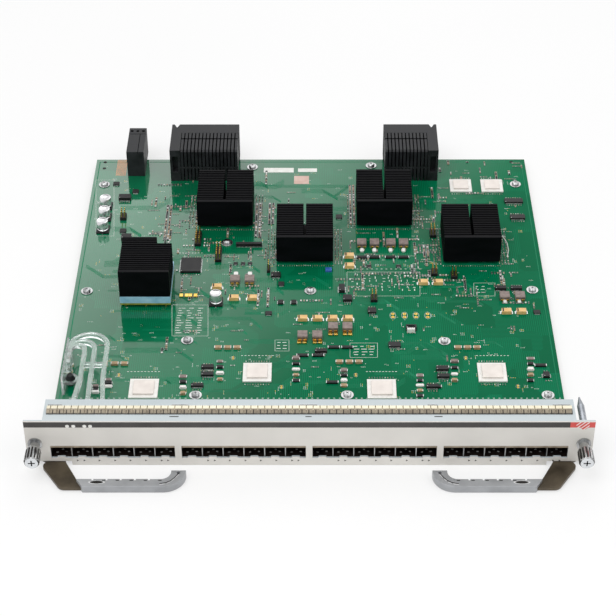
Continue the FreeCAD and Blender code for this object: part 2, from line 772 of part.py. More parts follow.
def make_bare_chips():
    substrates, lids = [], []
    chips = [(spot, s.port_chip_side) for spot in PORT_CHIP_PLACES]
    chips += [(spot, s.rear_chip_side) for spot in REAR_CHIP_PLACES]
    for number, (spot, side) in enumerate(chips):
        x, y = on_board(*spot)
        lid_side, deck = side - 2 * s.chip_lid_margin, board_top + s.chip_substrate
        substrates.append(block(f"substrate_{number}", x, y, board_top, side, side, deck))
        lids.append(block(f"lid_{number}", x, y, deck, lid_side, lid_side, deck + s.chip_lid))
    keep(compound("chip_substrates", substrates))
    keep(compound("chip_lids", lids))


make_bare_chips()

# Finned heatsinks on their chips
HEATSINK_PLACES = ((-68.6, 293.5), (-4.2, 245.0), (59.8, 294.0), (126.8, 244.6))


def cut_fins(body, width, length, height, base, count, first_fin, fin):
    """Slots across a block, so that plates are left standing on its base."""
    pitch = (length - first_fin - fin) / (count - 1)
    slot = sketch_on(body, "YZ_Plane", -width / 2)
    start = -length / 2 + first_fin
    rectangle(slot, start, base, start + pitch - fin, height)
    return line_up(body, pocket(body, slot, width), "Y_Axis", count - 1, pitch)


def make_heatsinks():
    packages = []
    for number, spot in enumerate(HEATSINK_PLACES):
        x, y = on_board(*spot)
        packages.append(block(
            f"asic_{number}", x, y, board_top, s.asic_side, s.asic_side, board_top + s.asic_height))
        body = new_body(f"heatsink_{number + 1}")
        outline = sketch_on(body, "XY_Plane")
        half_width, half_length = s.heatsink_width / 2, s.heatsink_length / 2
        rectangle(outline, -half_width, -half_length, half_width, half_length)
        pad(body, outline, s.heatsink_height)
        gap = sketch_on(body, "XY_Plane", s.heatsink_base)
        rectangle(gap, -s.cross_cut / 2, -half_length + s.fin_front, s.cross_cut / 2, half_length)
        pocket(body, gap, s.heatsink_height)
        cut_fins(body, s.heatsink_width, s.heatsink_length, s.heatsink_height, s.heatsink_base,
                 s.fin_count, s.fin_front, s.fin_sheet)
        place(body, x, y, board_top + s.asic_height)
        keep(body)
    keep(compound("switch_chips", packages))


make_heatsinks()

# Power module: pins, its own board, a light base plate and a black heatsink with one corner notched
MODULE_PLACE = (-125.0, 189.2)


def make_power_module():
    x, y = on_board(*MODULE_PLACE)
    half_width, half_length = s.module_width / 2, s.module_length / 2
    board_low = board_top + s.module_board_gap
    board_high = board_low + s.module_board_sheet
    plate_high = board_high + s.module_plate_height
    keep(block("power_module_board", x, y, board_low, s.module_width, s.module_length, board_high))
    keep(block("power_module_baseplate", x, y, board_high, s.module_width, s.module_length, plate_high))
    pins = []
    for number, (right, back) in enumerate(((-1, -1), (0, -1), (1, -1), (-1, 1), (1, 1))):
        pin_x = x + right * (half_width - s.module_pin_inset)
        pin_y = y + back * (half_length - s.module_pin_setback)
        pins.append(prism(
            f"module_pin_{number}", HEAD_SIDES, pin_x, pin_y, board_top, s.module_pin_radius, board_low))
    keep(compound("power_module_pins", pins))
    body = new_body("power_module_heatsink")
    outline = sketch_on(body, "XY_Plane")
    polygon(outline, [
        (-half_width, -half_length), (half_width, -half_length),
        (half_width, half_length - s.module_notch_length),
        (half_width - s.module_notch_width, half_length - s.module_notch_length),
        (half_width - s.module_notch_width, half_length), (-half_width, half_length),
    ])
    pad(body, outline, s.module_fins_height)
    cut_fins(body, s.module_width, s.module_length, s.module_fins_height, s.heatsink_base,
             s.fin_count, s.fin_front, s.fin_sheet)
    place(body, x, y, plate_high)
    keep(body)


make_power_module()


# Rear signal connectors: a hood, a guide block with a V notch, and a row of wafers held by a rail
def make_signal_connector(label, middle, wafers, outer_side):
    pitch, rear = s.wafer_pitch, board_rear + s.connector_overhang
    top, front = board_top + s.connector_height, rear - s.connector_depth
    hood_front = rear - s.hood_depth
    field = wafers * pitch
    width = field + s.guide_block_width
    centre = board_width * (middle / DRAWN_WIDTH)
    low_x, high_x = centre - width / 2, centre + width / 2
    field_low = low_x + s.guide_block_width if outer_side < 0 else low_x
    block_low = low_x if outer_side < 0 else high_x - s.guide_block_width
    wall = s.hood_wall

    hood = box(f"{label}_hood", field_low, hood_front, board_top, field_low + field, rear, top)
    mouth = box(
        f"{label}_mouth", field_low + wall, hood_front + s.hood_floor, board_top + wall,
        field_low + field - wall, rear + OVER, top - wall)
    block_high, margin = block_low + s.guide_block_width, s.guide_window_margin
    guide = box(f"{label}_guide", block_low, front, board_top, block_high, rear, top)
    window = box(
        f"{label}_window", block_low + margin, front - OVER, board_top + s.guide_window_low,
        block_high - margin, front + s.guide_window_depth, top - s.guide_window_drop)
    half_mouth, half_point = s.guide_notch_width / 2, s.guide_notch_point / 2
    notch_height = s.connector_height - s.guide_notch_low + OVER
    notch = doc.addObject("Part::Wedge", f"{label}_notch")
    for path, size in (
            ("Xmin", -half_mouth), ("Xmax", half_mouth), ("X2min", -half_point), ("X2max", half_point),
            ("Ymin", 0), ("Ymax", s.guide_notch_depth + OVER), ("Zmin", 0), ("Zmax", notch_height),
            ("Z2min", 0), ("Z2max", notch_height)):
        bind(notch, path, size)
    notch.Placement.Rotation = FreeCAD.Rotation(V(0, 0, 1), 180)
    place(notch, (block_low + block_high) / 2, rear + OVER, board_top + s.guide_notch_low)
    rail_low = board_top + s.wafer_rail_height
    rail = box(
        f"{label}_rail", field_low, front, rail_low, field_low + field, front + s.wafer_rail,
        rail_low + s.wafer_rail)
    solid = fuse(f"{label}_solid", [hood, guide, rail])
    tools = fuse(f"{label}_tools", [mouth, window, notch])
    keep(cut(f"{label}_housing", solid, tools))

    plates = []
    for index in range(int(wafers.number)):
        x = field_low + (index + 0.5) * pitch
        plates.append(shaped(f"{label}_wafer_{index}", wafer_shape(), x, 0, 0))
    keep(compound(f"{label}_wafers", plates))


def wafer_shape():
    """One wafer, as an outline in the YZ plane with the rail's notch, a chamfered top and a top slot."""
    connector_rear = board_rear + s.connector_overhang
    front, rear, low, high, rail_low, rail, half = numbers((
        connector_rear - s.connector_depth, connector_rear - s.hood_depth, board_top,
        board_top + s.connector_height, board_top + s.wafer_rail_height, s.wafer_rail, s.wafer_sheet / 2))
    chamfer, setback, width, depth = numbers((
        s.wafer_chamfer, s.wafer_slot_setback, s.wafer_slot_width, s.wafer_slot_depth))
    slot_front, rail_high = front + setback, rail_low + rail
    slot_rear = slot_front + width
    outline = [
        (front, low), (rear, low), (rear, high), (slot_rear, high), (slot_rear, high - depth),
        (slot_front, high - depth), (slot_front, high), (front + chamfer, high), (front, high - chamfer),
        (front, rail_high), (front + rail, rail_high), (front + rail, rail_low), (front, rail_low),
    ]
    wire = Part.makePolygon([V(-half, y, z) for y, z in outline] + [V(-half, *outline[0])])
    return Part.Face(wire).extrude(V(2 * half, 0, 0))


# the middles of the three connectors
LEFT_SIGNAL_X, RIGHT_SIGNAL_X, POWER_X = -88.4, 83.9, -146.2
make_signal_connector("left_signal", LEFT_SIGNAL_X, s.left_wafers, -1)
make_signal_connector("right_signal", RIGHT_SIGNAL_X, s.right_wafers, 1)


# Power connector: a split block with blade contacts in its rear pockets
def make_power_connector():
    rear = board_rear + s.power_connector_overhang
    front, top = rear - s.power_connector_depth, board_top + s.power_connector_height
    middle = on_board(POWER_X, 0)[0]
    width = s.power_connector_width
    low_x = middle - width / 2
    body = box("power_block", low_x, front, board_top, low_x + width, rear, top)
    tools, blades = [], []
    cell, pocket_front = width / s.power_cells, rear - s.power_pocket_depth
    pocket_low, pocket_top = board_top + s.power_pocket_low, top - s.power_pocket_drop
    half_pocket, half_blade = cell / 2 - s.power_cell_wall, s.blade_sheet / 2
    half_slot = s.power_slot_width / 2
    slot_rear = rear - s.power_slot_setback
    for index in range(int(s.power_cells.number)):
        x = low_x + (index + 0.5) * cell
        tools.append(box(
            f"power_pocket_{index}", x - half_pocket, pocket_front, pocket_low, x + half_pocket,
            rear + OVER, pocket_top))
        tools.append(box(
            f"power_light_slot_{index}", x - half_slot, slot_rear - s.power_slot_length, pocket_top - OVER,
            x + half_slot, slot_rear, top + OVER))
        blades.append(box(
            f"power_blade_{index}", x - half_blade, pocket_front, pocket_low + s.blade_clearance,
            x + half_blade, rear - s.blade_setback, pocket_top - s.blade_clearance))
    split, half_split = low_x + (s.power_cells - 1) * cell, s.power_split_width / 2
    groove_front = pocket_front - s.power_groove_width
    tools.append(box(
        "power_split", split - half_split, front - OVER, top - s.power_split_depth, split + half_split,
        groove_front, top + OVER))
    tools.append(box(
        "power_groove", low_x - OVER, groove_front, top - s.power_groove_depth, low_x + width + OVER,
        pocket_front, top + OVER))
    keep(cut("power_connector_housing", body, fuse("power_tools", tools)))
    keep(compound("power_connector_blades", blades))


make_power_connector()

# Parts on the board
CAN_PLACES = ((-167.6, 300.5), (-167.0, 284.5), (-167.0, 267.7), (-71.7, 172.5))
TANTALUM_PLACES = (
    (-58.1, 177.0), (-44.1, 177.0), (-5.5, 151.7), (5.8, 151.7), (17.1, 151.7), (28.6, 151.7),
    (30.9, 231.1), (30.9, 217.9), (87.6, 196.6), (99.2, 196.6), (149.0, 160.2), (160.2, 160.2),
    (-71.7, 190.9),
)
COIL_PLACES = (
    (41.0, 247.1), (51.2, 247.1), (64.2, 247.1), (74.3, 247.1), (17.4, 140.2), (28.2, 140.2),
    (-5.4, 130.2), (5.6, 130.2), (149.0, 178.1), (160.7, 178.1), (-58.1, 199.1), (-46.8, 199.1),
)
# small packages as place, width, length and height
CHIP_BLOCKS = (
    (-93.4, 219.3, 15.8, 18.0, 1.8), (62.8, 120.7, 9.0, 5.4, 1.8), (28.7, 176.1, 7.0, 6.4, 3.0),
    (47.1, 161.6, 6.4, 5.6, 2.0), (75.9, 140.0, 8.0, 4.0, 3.4), (-74.4, 94.9, 9.0, 3.6, 2.4),
    (-74.2, 86.6, 9.0, 3.6, 2.4), (-80.9, 74.4, 9.0, 3.0, 2.2), (167.2, 307.6, 15.0, 5.4, 1.8),
    (168.4, 284.6, 12.0, 5.4, 1.8), (-153.0, 312.0, 10.0, 6.0, 3.2), (-147.0, 255.0, 8.0, 6.0, 4.0),
    (24.6, 188.6, 4.6, 8.4, 3.0), (-26.6, 206.4, 7.4, 5.0, 2.2), (8.2, 113.2, 9.0, 3.2, 2.4),
    (96.6, 92.8, 9.0, 3.6, 2.4), (96.8, 84.6, 9.0, 3.6, 2.4), (88.4, 73.2, 9.0, 3.2, 2.4),
    (158.8, 189.2, 8.6, 3.6, 2.6), (146.8, 189.2, 8.6, 3.6, 2.6), (171.6, 86.0, 4.6, 5.4, 2.2),
)
# pin headers as place, pins across and pins along
HEADER_PLACES = (
    (-152.0, 285.0, 2, 3), (-89.6, 254.4, 2, 7), (-72.4, 233.2, 2, 7), (49.0, 176.6, 2, 3),
    (96.8, 209.6, 2, 3), (112.0, 206.0, 2, 3), (-32.4, 214.0, 1, 3),
)
# the header close beside the last heatsink: its place from that heatsink's middle, across and along
SIDE_HEADER = (-28.4, 17.4, 2, 4)


def make_board_parts():
    cans, bases, tantalums, coils, chips, header_blocks, pins = [], [], [], [], [], [], []
    for number, spot in enumerate(CAN_PLACES):
        x, y = on_board(*spot)
        deck = board_top + s.can_base_height
        bases.append(block(f"can_base_{number}", x, y, board_top, s.can_base, s.can_base, deck))
        cans.append(cylinder(f"can_{number}", x, y, deck, s.can_radius, deck + s.can_height))
    for number, spot in enumerate(TANTALUM_PLACES):
        x, y = on_board(*spot)
        tantalums.append(block(
            f"tantalum_{number}", x, y, board_top, s.tantalum_length, s.tantalum_width,
            board_top + s.tantalum_height))
    for number, spot in enumerate(COIL_PLACES):
        x, y = on_board(*spot)
        coils.append(block(
            f"coil_{number}", x, y, board_top, s.coil_side, s.coil_side, board_top + s.coil_height))
    for number, (x, y, width, length, height) in enumerate(CHIP_BLOCKS):
        x, y = on_board(x, y)
        chips.append(block(f"chip_{number}", x, y, board_top, width, length, board_top + height))
    headers = [(*on_board(x, y), across, along) for x, y, across, along in HEADER_PLACES]
    x, y = on_board(*HEATSINK_PLACES[-1])
    headers.append((x + SIDE_HEADER[0], y + SIDE_HEADER[1], *SIDE_HEADER[2:]))
    for number, (x, y, across, along) in enumerate(headers):
        pitch, deck = s.header_pitch, board_top + s.header_body
        header_blocks.append(block(
            f"header_{number}", x, y, board_top, across * pitch, along * pitch, deck))
        for column in range(across):
            for row in range(along):
                pin_x = x + (column - (across - 1) / 2) * pitch
                pin_y = y + (row - (along - 1) / 2) * pitch
                pins.append(block(
                    f"pin_{number}_{column}_{row}", pin_x, pin_y, deck, s.header_pin, s.header_pin,
                    board_top + s.header_pin_height))
    for label, parts in (
            ("capacitor_cans", cans), ("capacitor_bases", bases), ("tantalum_capacitors", tantalums),
            ("power_inductors", coils), ("small_chips", chips), ("pin_headers", header_blocks),
            ("header_pins", pins)):
        keep(compound(label, parts))


make_board_parts()

# Light pipes: one clear moulding whose three loops run from the light sources over the port cages and
# up to the faceplate's windows. It stands on a foot, and a push rivet holds its lug.
# Each loop: its right leg at the bend and at the front, the middle of its bend, the end of its left leg
PIPE_LOOPS = ((-147.2, -144.3, 102.7, 96.0), (-156.0, -155.4, 98.8, 89.0), (-163.2, -166.3, 98.2, 82.0))
PIPE_LEFT, PIPE_FOOT_FRONT, PIPE_FOOT_REAR = -174.0, 65.0, 111.0
PIPE_LINKS = (80.0, 83.6)
RIVET_PLACE = (-172.0, 76.0)
# behind the faceplate: where the right legs bend, start to rise, are up and end
PIPE_KINK, PIPE_RAMP, PIPE_RAMP_TOP, PIPE_END = 66.0, 34.0, 12.0, 3.0
# the bar behind the windows
RACK_FRONT, RACK_REAR, RACK_MARGIN = 1.0, 4.2, 2.0


def solid_box(x0, y0, z0, x1, y1, z1):
    return Part.makeBox(x1 - x0, y1 - y0, z1 - z0, V(x0, y0, z0))


def pipe_loop(back, front, bend, source, left, half):
    """A loop as a flat ribbon: up the left leg, round the bend and down the right leg."""
    middle, radius = (back + left) / 2, (back - left) / 2
    outer, inner = radius + half, radius - half

    def arc(reach):
        return Part.Arc(
            V(middle - reach, bend, 0), V(middle, bend + reach, 0), V(middle + reach, bend, 0)).toShape()

    def lines(*points):
        return [Part.makeLine(V(*a, 0), V(*b, 0)) for a, b in zip(points, points[1:])]

    edges = [arc(outer), arc(inner)]
    edges += lines(
        (middle - outer, bend), (middle - outer, source), (middle - inner, source), (middle - inner, bend))
    edges += lines(
        (middle + inner, bend), (back - half, PIPE_KINK), (front - half, PIPE_RAMP),
        (front + half, PIPE_RAMP), (back + half, PIPE_KINK), (middle + outer, bend))
    return Part.Face(Part.Wire(Part.__sortEdges__(edges))).extrude(V(0, 0, 2 * half))


def pipe_ramp(x, height, window_x, window_height, half):
    """The slanting stretch between the loop's height and the windows' height."""
    def square(cx, cy, cz):
        corners = [V(cx - half, cy, cz - half), V(cx + half, cy, cz - half),
                   V(cx + half, cy, cz + half), V(cx - half, cy, cz + half)]
        return Part.makePolygon(corners + corners[:1])

    low, high = square(x, PIPE_RAMP, height), square(window_x, PIPE_RAMP_TOP, window_height)
    return Part.makeLoft([low, high], True, True)


def make_light_pipes():
    half, height, window_z, sheet_metal, across, tall, foot, link = numbers((
        s.pipe_side / 2, s.pipe_height, s.window_height, s.sheet_metal, s.window_width / 2,
        s.window_tall / 2, s.pipe_foot, s.pipe_link / 2))
    board, pipe_end = numbers((board_top, board_top + s.light_source_height + s.light_source_gap))
    windows = numbers(on_panel(x) for x in WINDOW_PLACES)
    left, foot_front = numbers(on_board(PIPE_LEFT, PIPE_FOOT_FRONT))
    foot_rear = on_board(0, PIPE_FOOT_REAR)[1].number
    pieces = [solid_box(
        windows[0] - RACK_MARGIN, RACK_FRONT, window_z - half, windows[-1] + RACK_MARGIN, RACK_REAR,
        window_z + half)]
    for window in windows:
        pieces.append(solid_box(
            window - across, -sheet_metal, window_z - tall, window + across, RACK_FRONT, window_z + tall))

    sources = []
    for (back, front, bend, source), window in zip(PIPE_LOOPS, (windows[3], windows[2], windows[0])):
        back, bend = numbers(on_board(back, bend))
        front, source = numbers(on_board(front, source))
        loop = pipe_loop(back, front, bend, source, left, half)
        loop.translate(V(0, 0, height - half))
        pieces += [
            loop, pipe_ramp(front, height, window, window_z, half),
            solid_box(
                window - half, PIPE_END, window_z - half, window + half, PIPE_RAMP_TOP, window_z + half),
            solid_box(left - half, source, pipe_end, left + half, source + 2 * half, height),
        ]
        sources.append(source)
    right_leg, left_leg = (on_board(loop[0], 0)[0].number for loop in (PIPE_LOOPS[0], PIPE_LOOPS[2]))
    for y in PIPE_LINKS:
        y = on_board(0, y)[1].number
        pieces.append(solid_box(left_leg, y - link, height - link, right_leg, y + link, height + link))
    pieces.append(solid_box(
        left - half - foot, foot_front, board, left - half, foot_rear, height + half))

    rivet_x, rivet_y = on_board(*RIVET_PLACE)
    lug_low, lug_high = board_top + s.pipe_lug_height, board_top + s.pipe_lug_height + s.pipe_lug_sheet
    low, high, lug_radius, bore = numbers((lug_low, lug_high, s.pipe_lug_radius, s.rivet_radius))
    lug_at = V(rivet_x.number, rivet_y.number, low)
    pieces.append(Part.makeCylinder(lug_radius, high - low, lug_at))
    solid = pieces[0].fuse(pieces[1:]).cut(Part.makeCylinder(bore, high - low, lug_at))
    keep(shaped("light_pipes", solid.removeSplitter()))

    lights = []
    for number, source in enumerate(sources):
        lights.append(block(
            f"light_source_{number}", Size(left), Size(source + half), board_top, s.pipe_side,
            s.light_source_length, board_top + s.light_source_height))
    keep(compound("status_leds", lights))

    stem = cylinder("rivet_stem", rivet_x, rivet_y, board_top, s.rivet_radius, lug_high)
    cap = doc.addObject("Part::Cone", "rivet_cap")
    for path, size in (
            ("Radius1", s.rivet_cap_radius), ("Radius2", s.rivet_cap_top), ("Height", s.rivet_cap_height)):
        bind(cap, path, size)
    place(cap, rivet_x, rivet_y, lug_high)
    keep(fuse("light_pipe_rivet", [stem, cap]))


make_light_pipes()


# Ejectors: a sheet bracket and a rivet behind the faceplate, a steel arm with two claws, and a grip.
# Outlines are given outward from the pivot along the faceplate, so one drawing serves both sides.
pivot_x = panel_half - s.pivot_inset
tongue_front, tongue_rear = s.tongue_margin - s.grip_reach, s.grip_bar - s.grip_reach - s.tongue_margin
tongue_end = -s.arm_foot_inner - s.tongue_length
# where the arm's slanting inner edge meets the tongue
tongue_heel = -s.arm_mouth_inner - (s.arm_foot_inner - s.arm_mouth_inner) * (
    (-tongue_rear - s.sheet_metal) / (s.arm_reach - s.sheet_metal))


def from_pivot(side, points):
    return [(side * (pivot_x + out), y) for out, y in points]


def span(side, start, end):
    """A stretch outward from the pivot, as its lower and upper X."""
    if side > 0:
        return pivot_x + start, pivot_x + end
    return -(pivot_x + end), -(pivot_x + start)


def upright_at(place_of_edge):
    """Picks the upright edge that stands at the given place."""
    spot = vec(*place_of_edge)

    def chosen(edge):
        foot = edge.BoundBox
        return upright(edge) and math.hypot(foot.XMin - spot.x, foot.YMin - spot.y) < 1e-3

    return chosen


def make_arm(name, side):
    setback, inside, outside = s.pivot_setback, s.claw_gap / 2, s.claw_gap / 2 + s.claw_width
    slope, blunt = s.claw_slope, s.claw_blunt
    slot = s.arm_boss_radius + s.claw_root
    shoulder, foot = (s.arm_shoulder, -s.arm_shoulder_reach), (-s.arm_foot_outer, -s.arm_reach)
    arm = new_body(f"{name}_ejector_arm")
    outline = sketch_on(arm, "XY_Plane", s.arm_underside)
    polygon(outline, from_pivot(side, [
        (tongue_end, tongue_rear), (tongue_heel, tongue_rear), (-s.arm_mouth_inner, -s.sheet_metal),
        (-s.arm_boss_radius, setback), (0, setback + s.arm_boss_radius),
        (s.claw_reach - slope, setback + outside), (s.claw_reach, setback + inside + blunt),
        (s.claw_reach, setback + inside), (slot, setback + inside), (slot, setback - inside),
        (s.claw_reach, setback - inside), (s.claw_reach, setback - inside - blunt),
        (s.claw_reach - slope, setback - outside), (s.arm_mouth_outer, -s.sheet_metal), shoulder, foot,
        (-s.arm_foot_inner, -s.arm_reach), (-s.arm_foot_inner, tongue_front), (tongue_end, tongue_front),
    ]))
    pad(arm, outline, s.arm_sheet)
    boss = sketch_on(arm, "XY_Plane", s.arm_underside)
    circle(boss, side * pivot_x, setback, s.arm_boss_radius)
    pad(arm, boss, s.arm_sheet)
    bore = sketch_on(arm, "XY_Plane", s.arm_underside)
    circle(bore, side * pivot_x, setback, s.pivot_radius + s.pivot_gap)
    pocket(arm, bore, s.arm_sheet)
    round_edges(arm, s.arm_shoulder_round, upright_at(from_pivot(side, [shoulder])[0]))
    round_edges(arm, s.arm_foot_round, upright_at(from_pivot(side, [foot])[0]))
    keep(arm)


def make_grip(name, side):
    front, rear, pad_rear = -s.grip_reach, s.grip_bar - s.grip_reach, -s.grip_pad_reach
    inside_bend, outside_bend = (-s.grip_neck, rear), (-s.grip_tip, front)
    grip = new_body(f"{name}_ejector_grip")
    outline = sketch_on(grip, "XY_Plane", s.grip_underside)
    polygon(outline, from_pivot(side, [
        (-s.grip_heel, rear), inside_bend, (-s.grip_neck, pad_rear), (-s.grip_tip, pad_rear),
        outside_bend, (-s.grip_heel - s.grip_heel_slant, front),
    ]))
    pad(grip, outline, s.grip_height)
    round_edges(grip, s.grip_inside_round, upright_at(from_pivot(side, [inside_bend])[0]))
    round_edges(grip, s.grip_outside_round, upright_at(from_pivot(side, [outside_bend])[0]))

    eye = sketch_on(grip, "XY_Plane", s.grip_underside)
    eye_at = (-(s.grip_neck + s.grip_tip) / 2, pad_rear - s.grip_eye_radius - s.grip_eye_inset)
    circle(eye, *from_pivot(side, [eye_at])[0], s.grip_eye_radius)
    pocket(grip, eye, s.grip_height)

    gap = s.grip_gap
    slot = sketch_on(grip, "XY_Plane", s.arm_underside - gap)
    polygon(slot, from_pivot(side, [
        (tongue_end - gap, tongue_rear + gap), (tongue_heel - gap, tongue_rear + gap),
        (-s.arm_mouth_inner - gap, -s.sheet_metal), (0, -s.sheet_metal), (0, -s.arm_reach - gap),
        (-s.arm_foot_inner - gap, -s.arm_reach - gap), (-s.arm_foot_inner - gap, tongue_front - gap),
        (tongue_end - gap, tongue_front - gap),
    ]))
    pocket(grip, slot, s.arm_sheet + 2 * gap)

    row = (s.grip_nicks - 1) * s.grip_nick_pitch
    middle = side * (pivot_x - (s.grip_heel + s.grip_neck - s.grip_inside_round) / 2 - s.tongue_margin)
    nick = sketch_on(grip, "XY_Plane", s.grip_underside + s.grip_height - s.grip_nick)
    first = middle - row / 2 - s.grip_nick / 2
    rectangle(nick, first, rear - s.grip_nick, first + s.grip_nick, rear + OVER)
    line_up(grip, pocket(grip, nick, s.grip_nick), "X_Axis", s.grip_nicks, s.grip_nick_pitch)
    keep(grip)


def make_pivot(name, side):
    """The bracket and the rivet that the arm turns on."""
    setback = s.pivot_setback
    low, high = arm_top + s.bracket_gap, arm_top + s.bracket_gap + s.bracket_sheet
    foot_top = s.arm_underside - s.bracket_gap
    shelf_low, shelf_high = span(side, -s.bracket_in, s.bracket_out)
    wall_low, wall_high = span(side, s.bracket_wall_in, s.bracket_out)
    shelf = box(f"{name}_bracket_shelf", shelf_low, 0, low, shelf_high, setback + s.bracket_behind, high)
    wall = box(f"{name}_bracket_wall", wall_low, 0, low, wall_high, s.bracket_sheet, high + s.bracket_wall)
    bore = cylinder(
        f"{name}_bracket_bore", side * pivot_x, setback, low - OVER, s.pivot_radius, high + OVER)
    bracket = cut(f"{name}_bracket", fuse(f"{name}_bracket_sheet", [shelf, wall]), bore)
    rivet = fuse(f"{name}_pivot", [
        cylinder(f"{name}_pivot_{part}", side * pivot_x, setback, bottom, radius, top)
        for part, bottom, radius, top in (
            ("foot", foot_top - s.pivot_foot, s.pivot_head_radius, foot_top),
            ("stem", foot_top, s.pivot_radius, high),
            ("head", high, s.pivot_head_radius, high + s.pivot_head))
    ])
    return bracket, rivet


pivots = []
for name, side in (("left", -1), ("right", 1)):
    make_arm(name, side)
    make_grip(name, side)
    pivots.append(make_pivot(name, side))
keep(compound("ejector_brackets", [bracket for bracket, rivet in pivots]))
keep(compound("ejector_pivots", [rivet for bracket, rivet in pivots]))


# Captive screws: a ferrule in the faceplate, a knurled screw with a retaining ring, and a spring
def turned(label, profile, x, z):
    """A body turned about its own Y axis, from pairs of radius and length."""
    body = new_body(label)
    sketch = sketch_on(body, "XY_Plane")
    polygon(sketch, profile)
    revolve(body, sketch, "Y_Axis")
    place(body, x, 0, z)
    return body


ring_front = s.ferrule_tail + s.ring_gap
ring_rear = ring_front + s.ring_sheet
groove_radius = s.shank_radius - s.groove_depth
cup_floor = s.knob_floor - s.knob_reach


def make_ferrule(name, x, z):
    flange = -s.sheet_metal - s.ferrule_flange
    return turned(f"{name}_ferrule", [
        (s.ferrule_bore, s.ferrule_tail), (s.ferrule_bore, -s.ferrule_reach),
        (s.ferrule_radius, -s.ferrule_reach), (s.ferrule_radius, flange), (s.ferrule_flange_radius, flange),
        (s.ferrule_flange_radius, -s.sheet_metal), (s.ferrule_radius, -s.sheet_metal),
        (s.ferrule_radius, s.ferrule_tail),
    ], x, z)


def make_screw(name, x, z):
    face, rim, cup = -s.knob_reach, s.knob_length - s.knob_reach, s.knob_radius - s.knob_wall
    groove_front, groove_rear = ring_front - s.groove_gap, ring_rear + s.groove_gap
    tip, chamfer = ring_rear + s.shank_tail, s.knob_chamfer
    screw = turned(f"{name}_captive_screw", [
        (0, face), (s.knob_radius - chamfer, face), (s.knob_radius, face + chamfer), (s.knob_radius, rim),
        (cup, rim), (cup, cup_floor), (s.shank_radius, cup_floor), (s.shank_radius, groove_front),
        (groove_radius, groove_front), (groove_radius, groove_rear), (s.shank_radius, groove_rear),
        (s.shank_radius, tip - chamfer), (s.shank_radius - chamfer, tip), (0, tip),
    ], x, z)
    half_length, half_width = s.recess_length / 2, s.recess_width / 2
    cross = sketch_on(screw, "XZ_Plane", s.knob_reach - s.recess_depth)
    polygon(cross, [
        (-half_length, -half_width), (-half_width, -half_width), (-half_width, -half_length),
        (half_width, -half_length), (half_width, -half_width), (half_length, -half_width),
        (half_length, half_width), (half_width, half_width), (half_width, half_length),
        (-half_width, half_length), (-half_width, half_width), (-half_length, half_width),
    ])
    pocket(screw, cross, s.recess_depth)
    keep(screw)


def make_ring(name, x, z):
    ring = new_body(f"{name}_retaining_ring")
    outline = sketch_on(ring, "XZ_Plane", -ring_rear)
    circle(outline, 0, 0, s.ring_radius)
    circle(outline, 0, 0, groove_radius + s.groove_gap)
    pad(ring, outline, s.ring_sheet)
    place(ring, x, 0, z)
    keep(ring)


SPRING_TURNS, STEPS_PER_TURN, WIRE_SIDES = 3.5, 12, 6
spring_front = cup_floor + s.spring_gap


def make_spring(name, x, z):
    """A coil of short straight runs, with a six-sided wire."""
    wire, rise, radius = numbers((
        s.spring_wire, -s.ferrule_reach - s.spring_gap - spring_front - s.spring_wire,
        (s.ferrule_bore + s.ferrule_radius) / 2))
    helix = Part.makeHelix(rise / SPRING_TURNS, rise, radius)
    path = Part.makePolygon(helix.discretize(Number=int(SPRING_TURNS * STEPS_PER_TURN) + 1))
    angles = [2 * math.pi * corner / WIRE_SIDES for corner in range(WIRE_SIDES)]
    corners = [V(radius + wire / 2 * math.cos(a), 0, wire / 2 * math.sin(a)) for a in angles]
    section = Part.makePolygon(corners + corners[:1])
    coil = path.makePipeShell([section], True, False, 1)
    coil.rotate(V(0, 0, 0), V(1, 0, 0), -90)
    keep(shaped(f"{name}_screw_spring", coil, x, spring_front + s.spring_wire / 2, z))


ferrules = []
for name, side in (("left", -1), ("right", 1)):
    x, z = side * ferrule_x, screw_axis_height
    ferrules.append(make_ferrule(name, x, z))
    make_screw(name, x, z)
    make_ring(name, x, z)
    make_spring(name, x, z)
keep(compound("captive_ferrules", ferrules))


# Guide pin at the upper right, with a collar against the faceplate
cone_start, collar = s.guide_pin_length - s.guide_pin_tip, s.guide_pin_collar_sheet
keep(turned("guide_pin", [
    (0, -s.sheet_metal), (s.guide_pin_radius, -s.sheet_metal), (s.guide_pin_radius, 0),
    (s.guide_pin_collar, 0), (s.guide_pin_collar, collar), (s.guide_pin_radius, collar),
    (s.guide_pin_radius, cone_start), (s.guide_pin_point, s.guide_pin_length), (0, s.guide_pin_length),
], panel_half - s.guide_pin_inset, s.panel_height - s.guide_pin_drop))


# Recompute, test every object, then write one file for each sub-part
def write_parts():
    doc.recompute()
    for item in doc.Objects:
        if {"Invalid", "Error"} & set(item.State):
            raise RuntimeError(f"{item.Label} did not compute: {item.State}")
    os.makedirs("parts", exist_ok=True)
    for node in nodes:
        if node.Shape.isNull() or not node.Shape.isValid() or not node.Shape.Solids:
            raise RuntimeError(f"{node.Label} has no valid solid")
        node.Shape.exportStep(f"parts/{node.Label}.step")
    print(len(nodes), "sub-parts written")


write_parts()
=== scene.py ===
import json
import math
import random

import bpy
from mathutils import Matrix, Vector


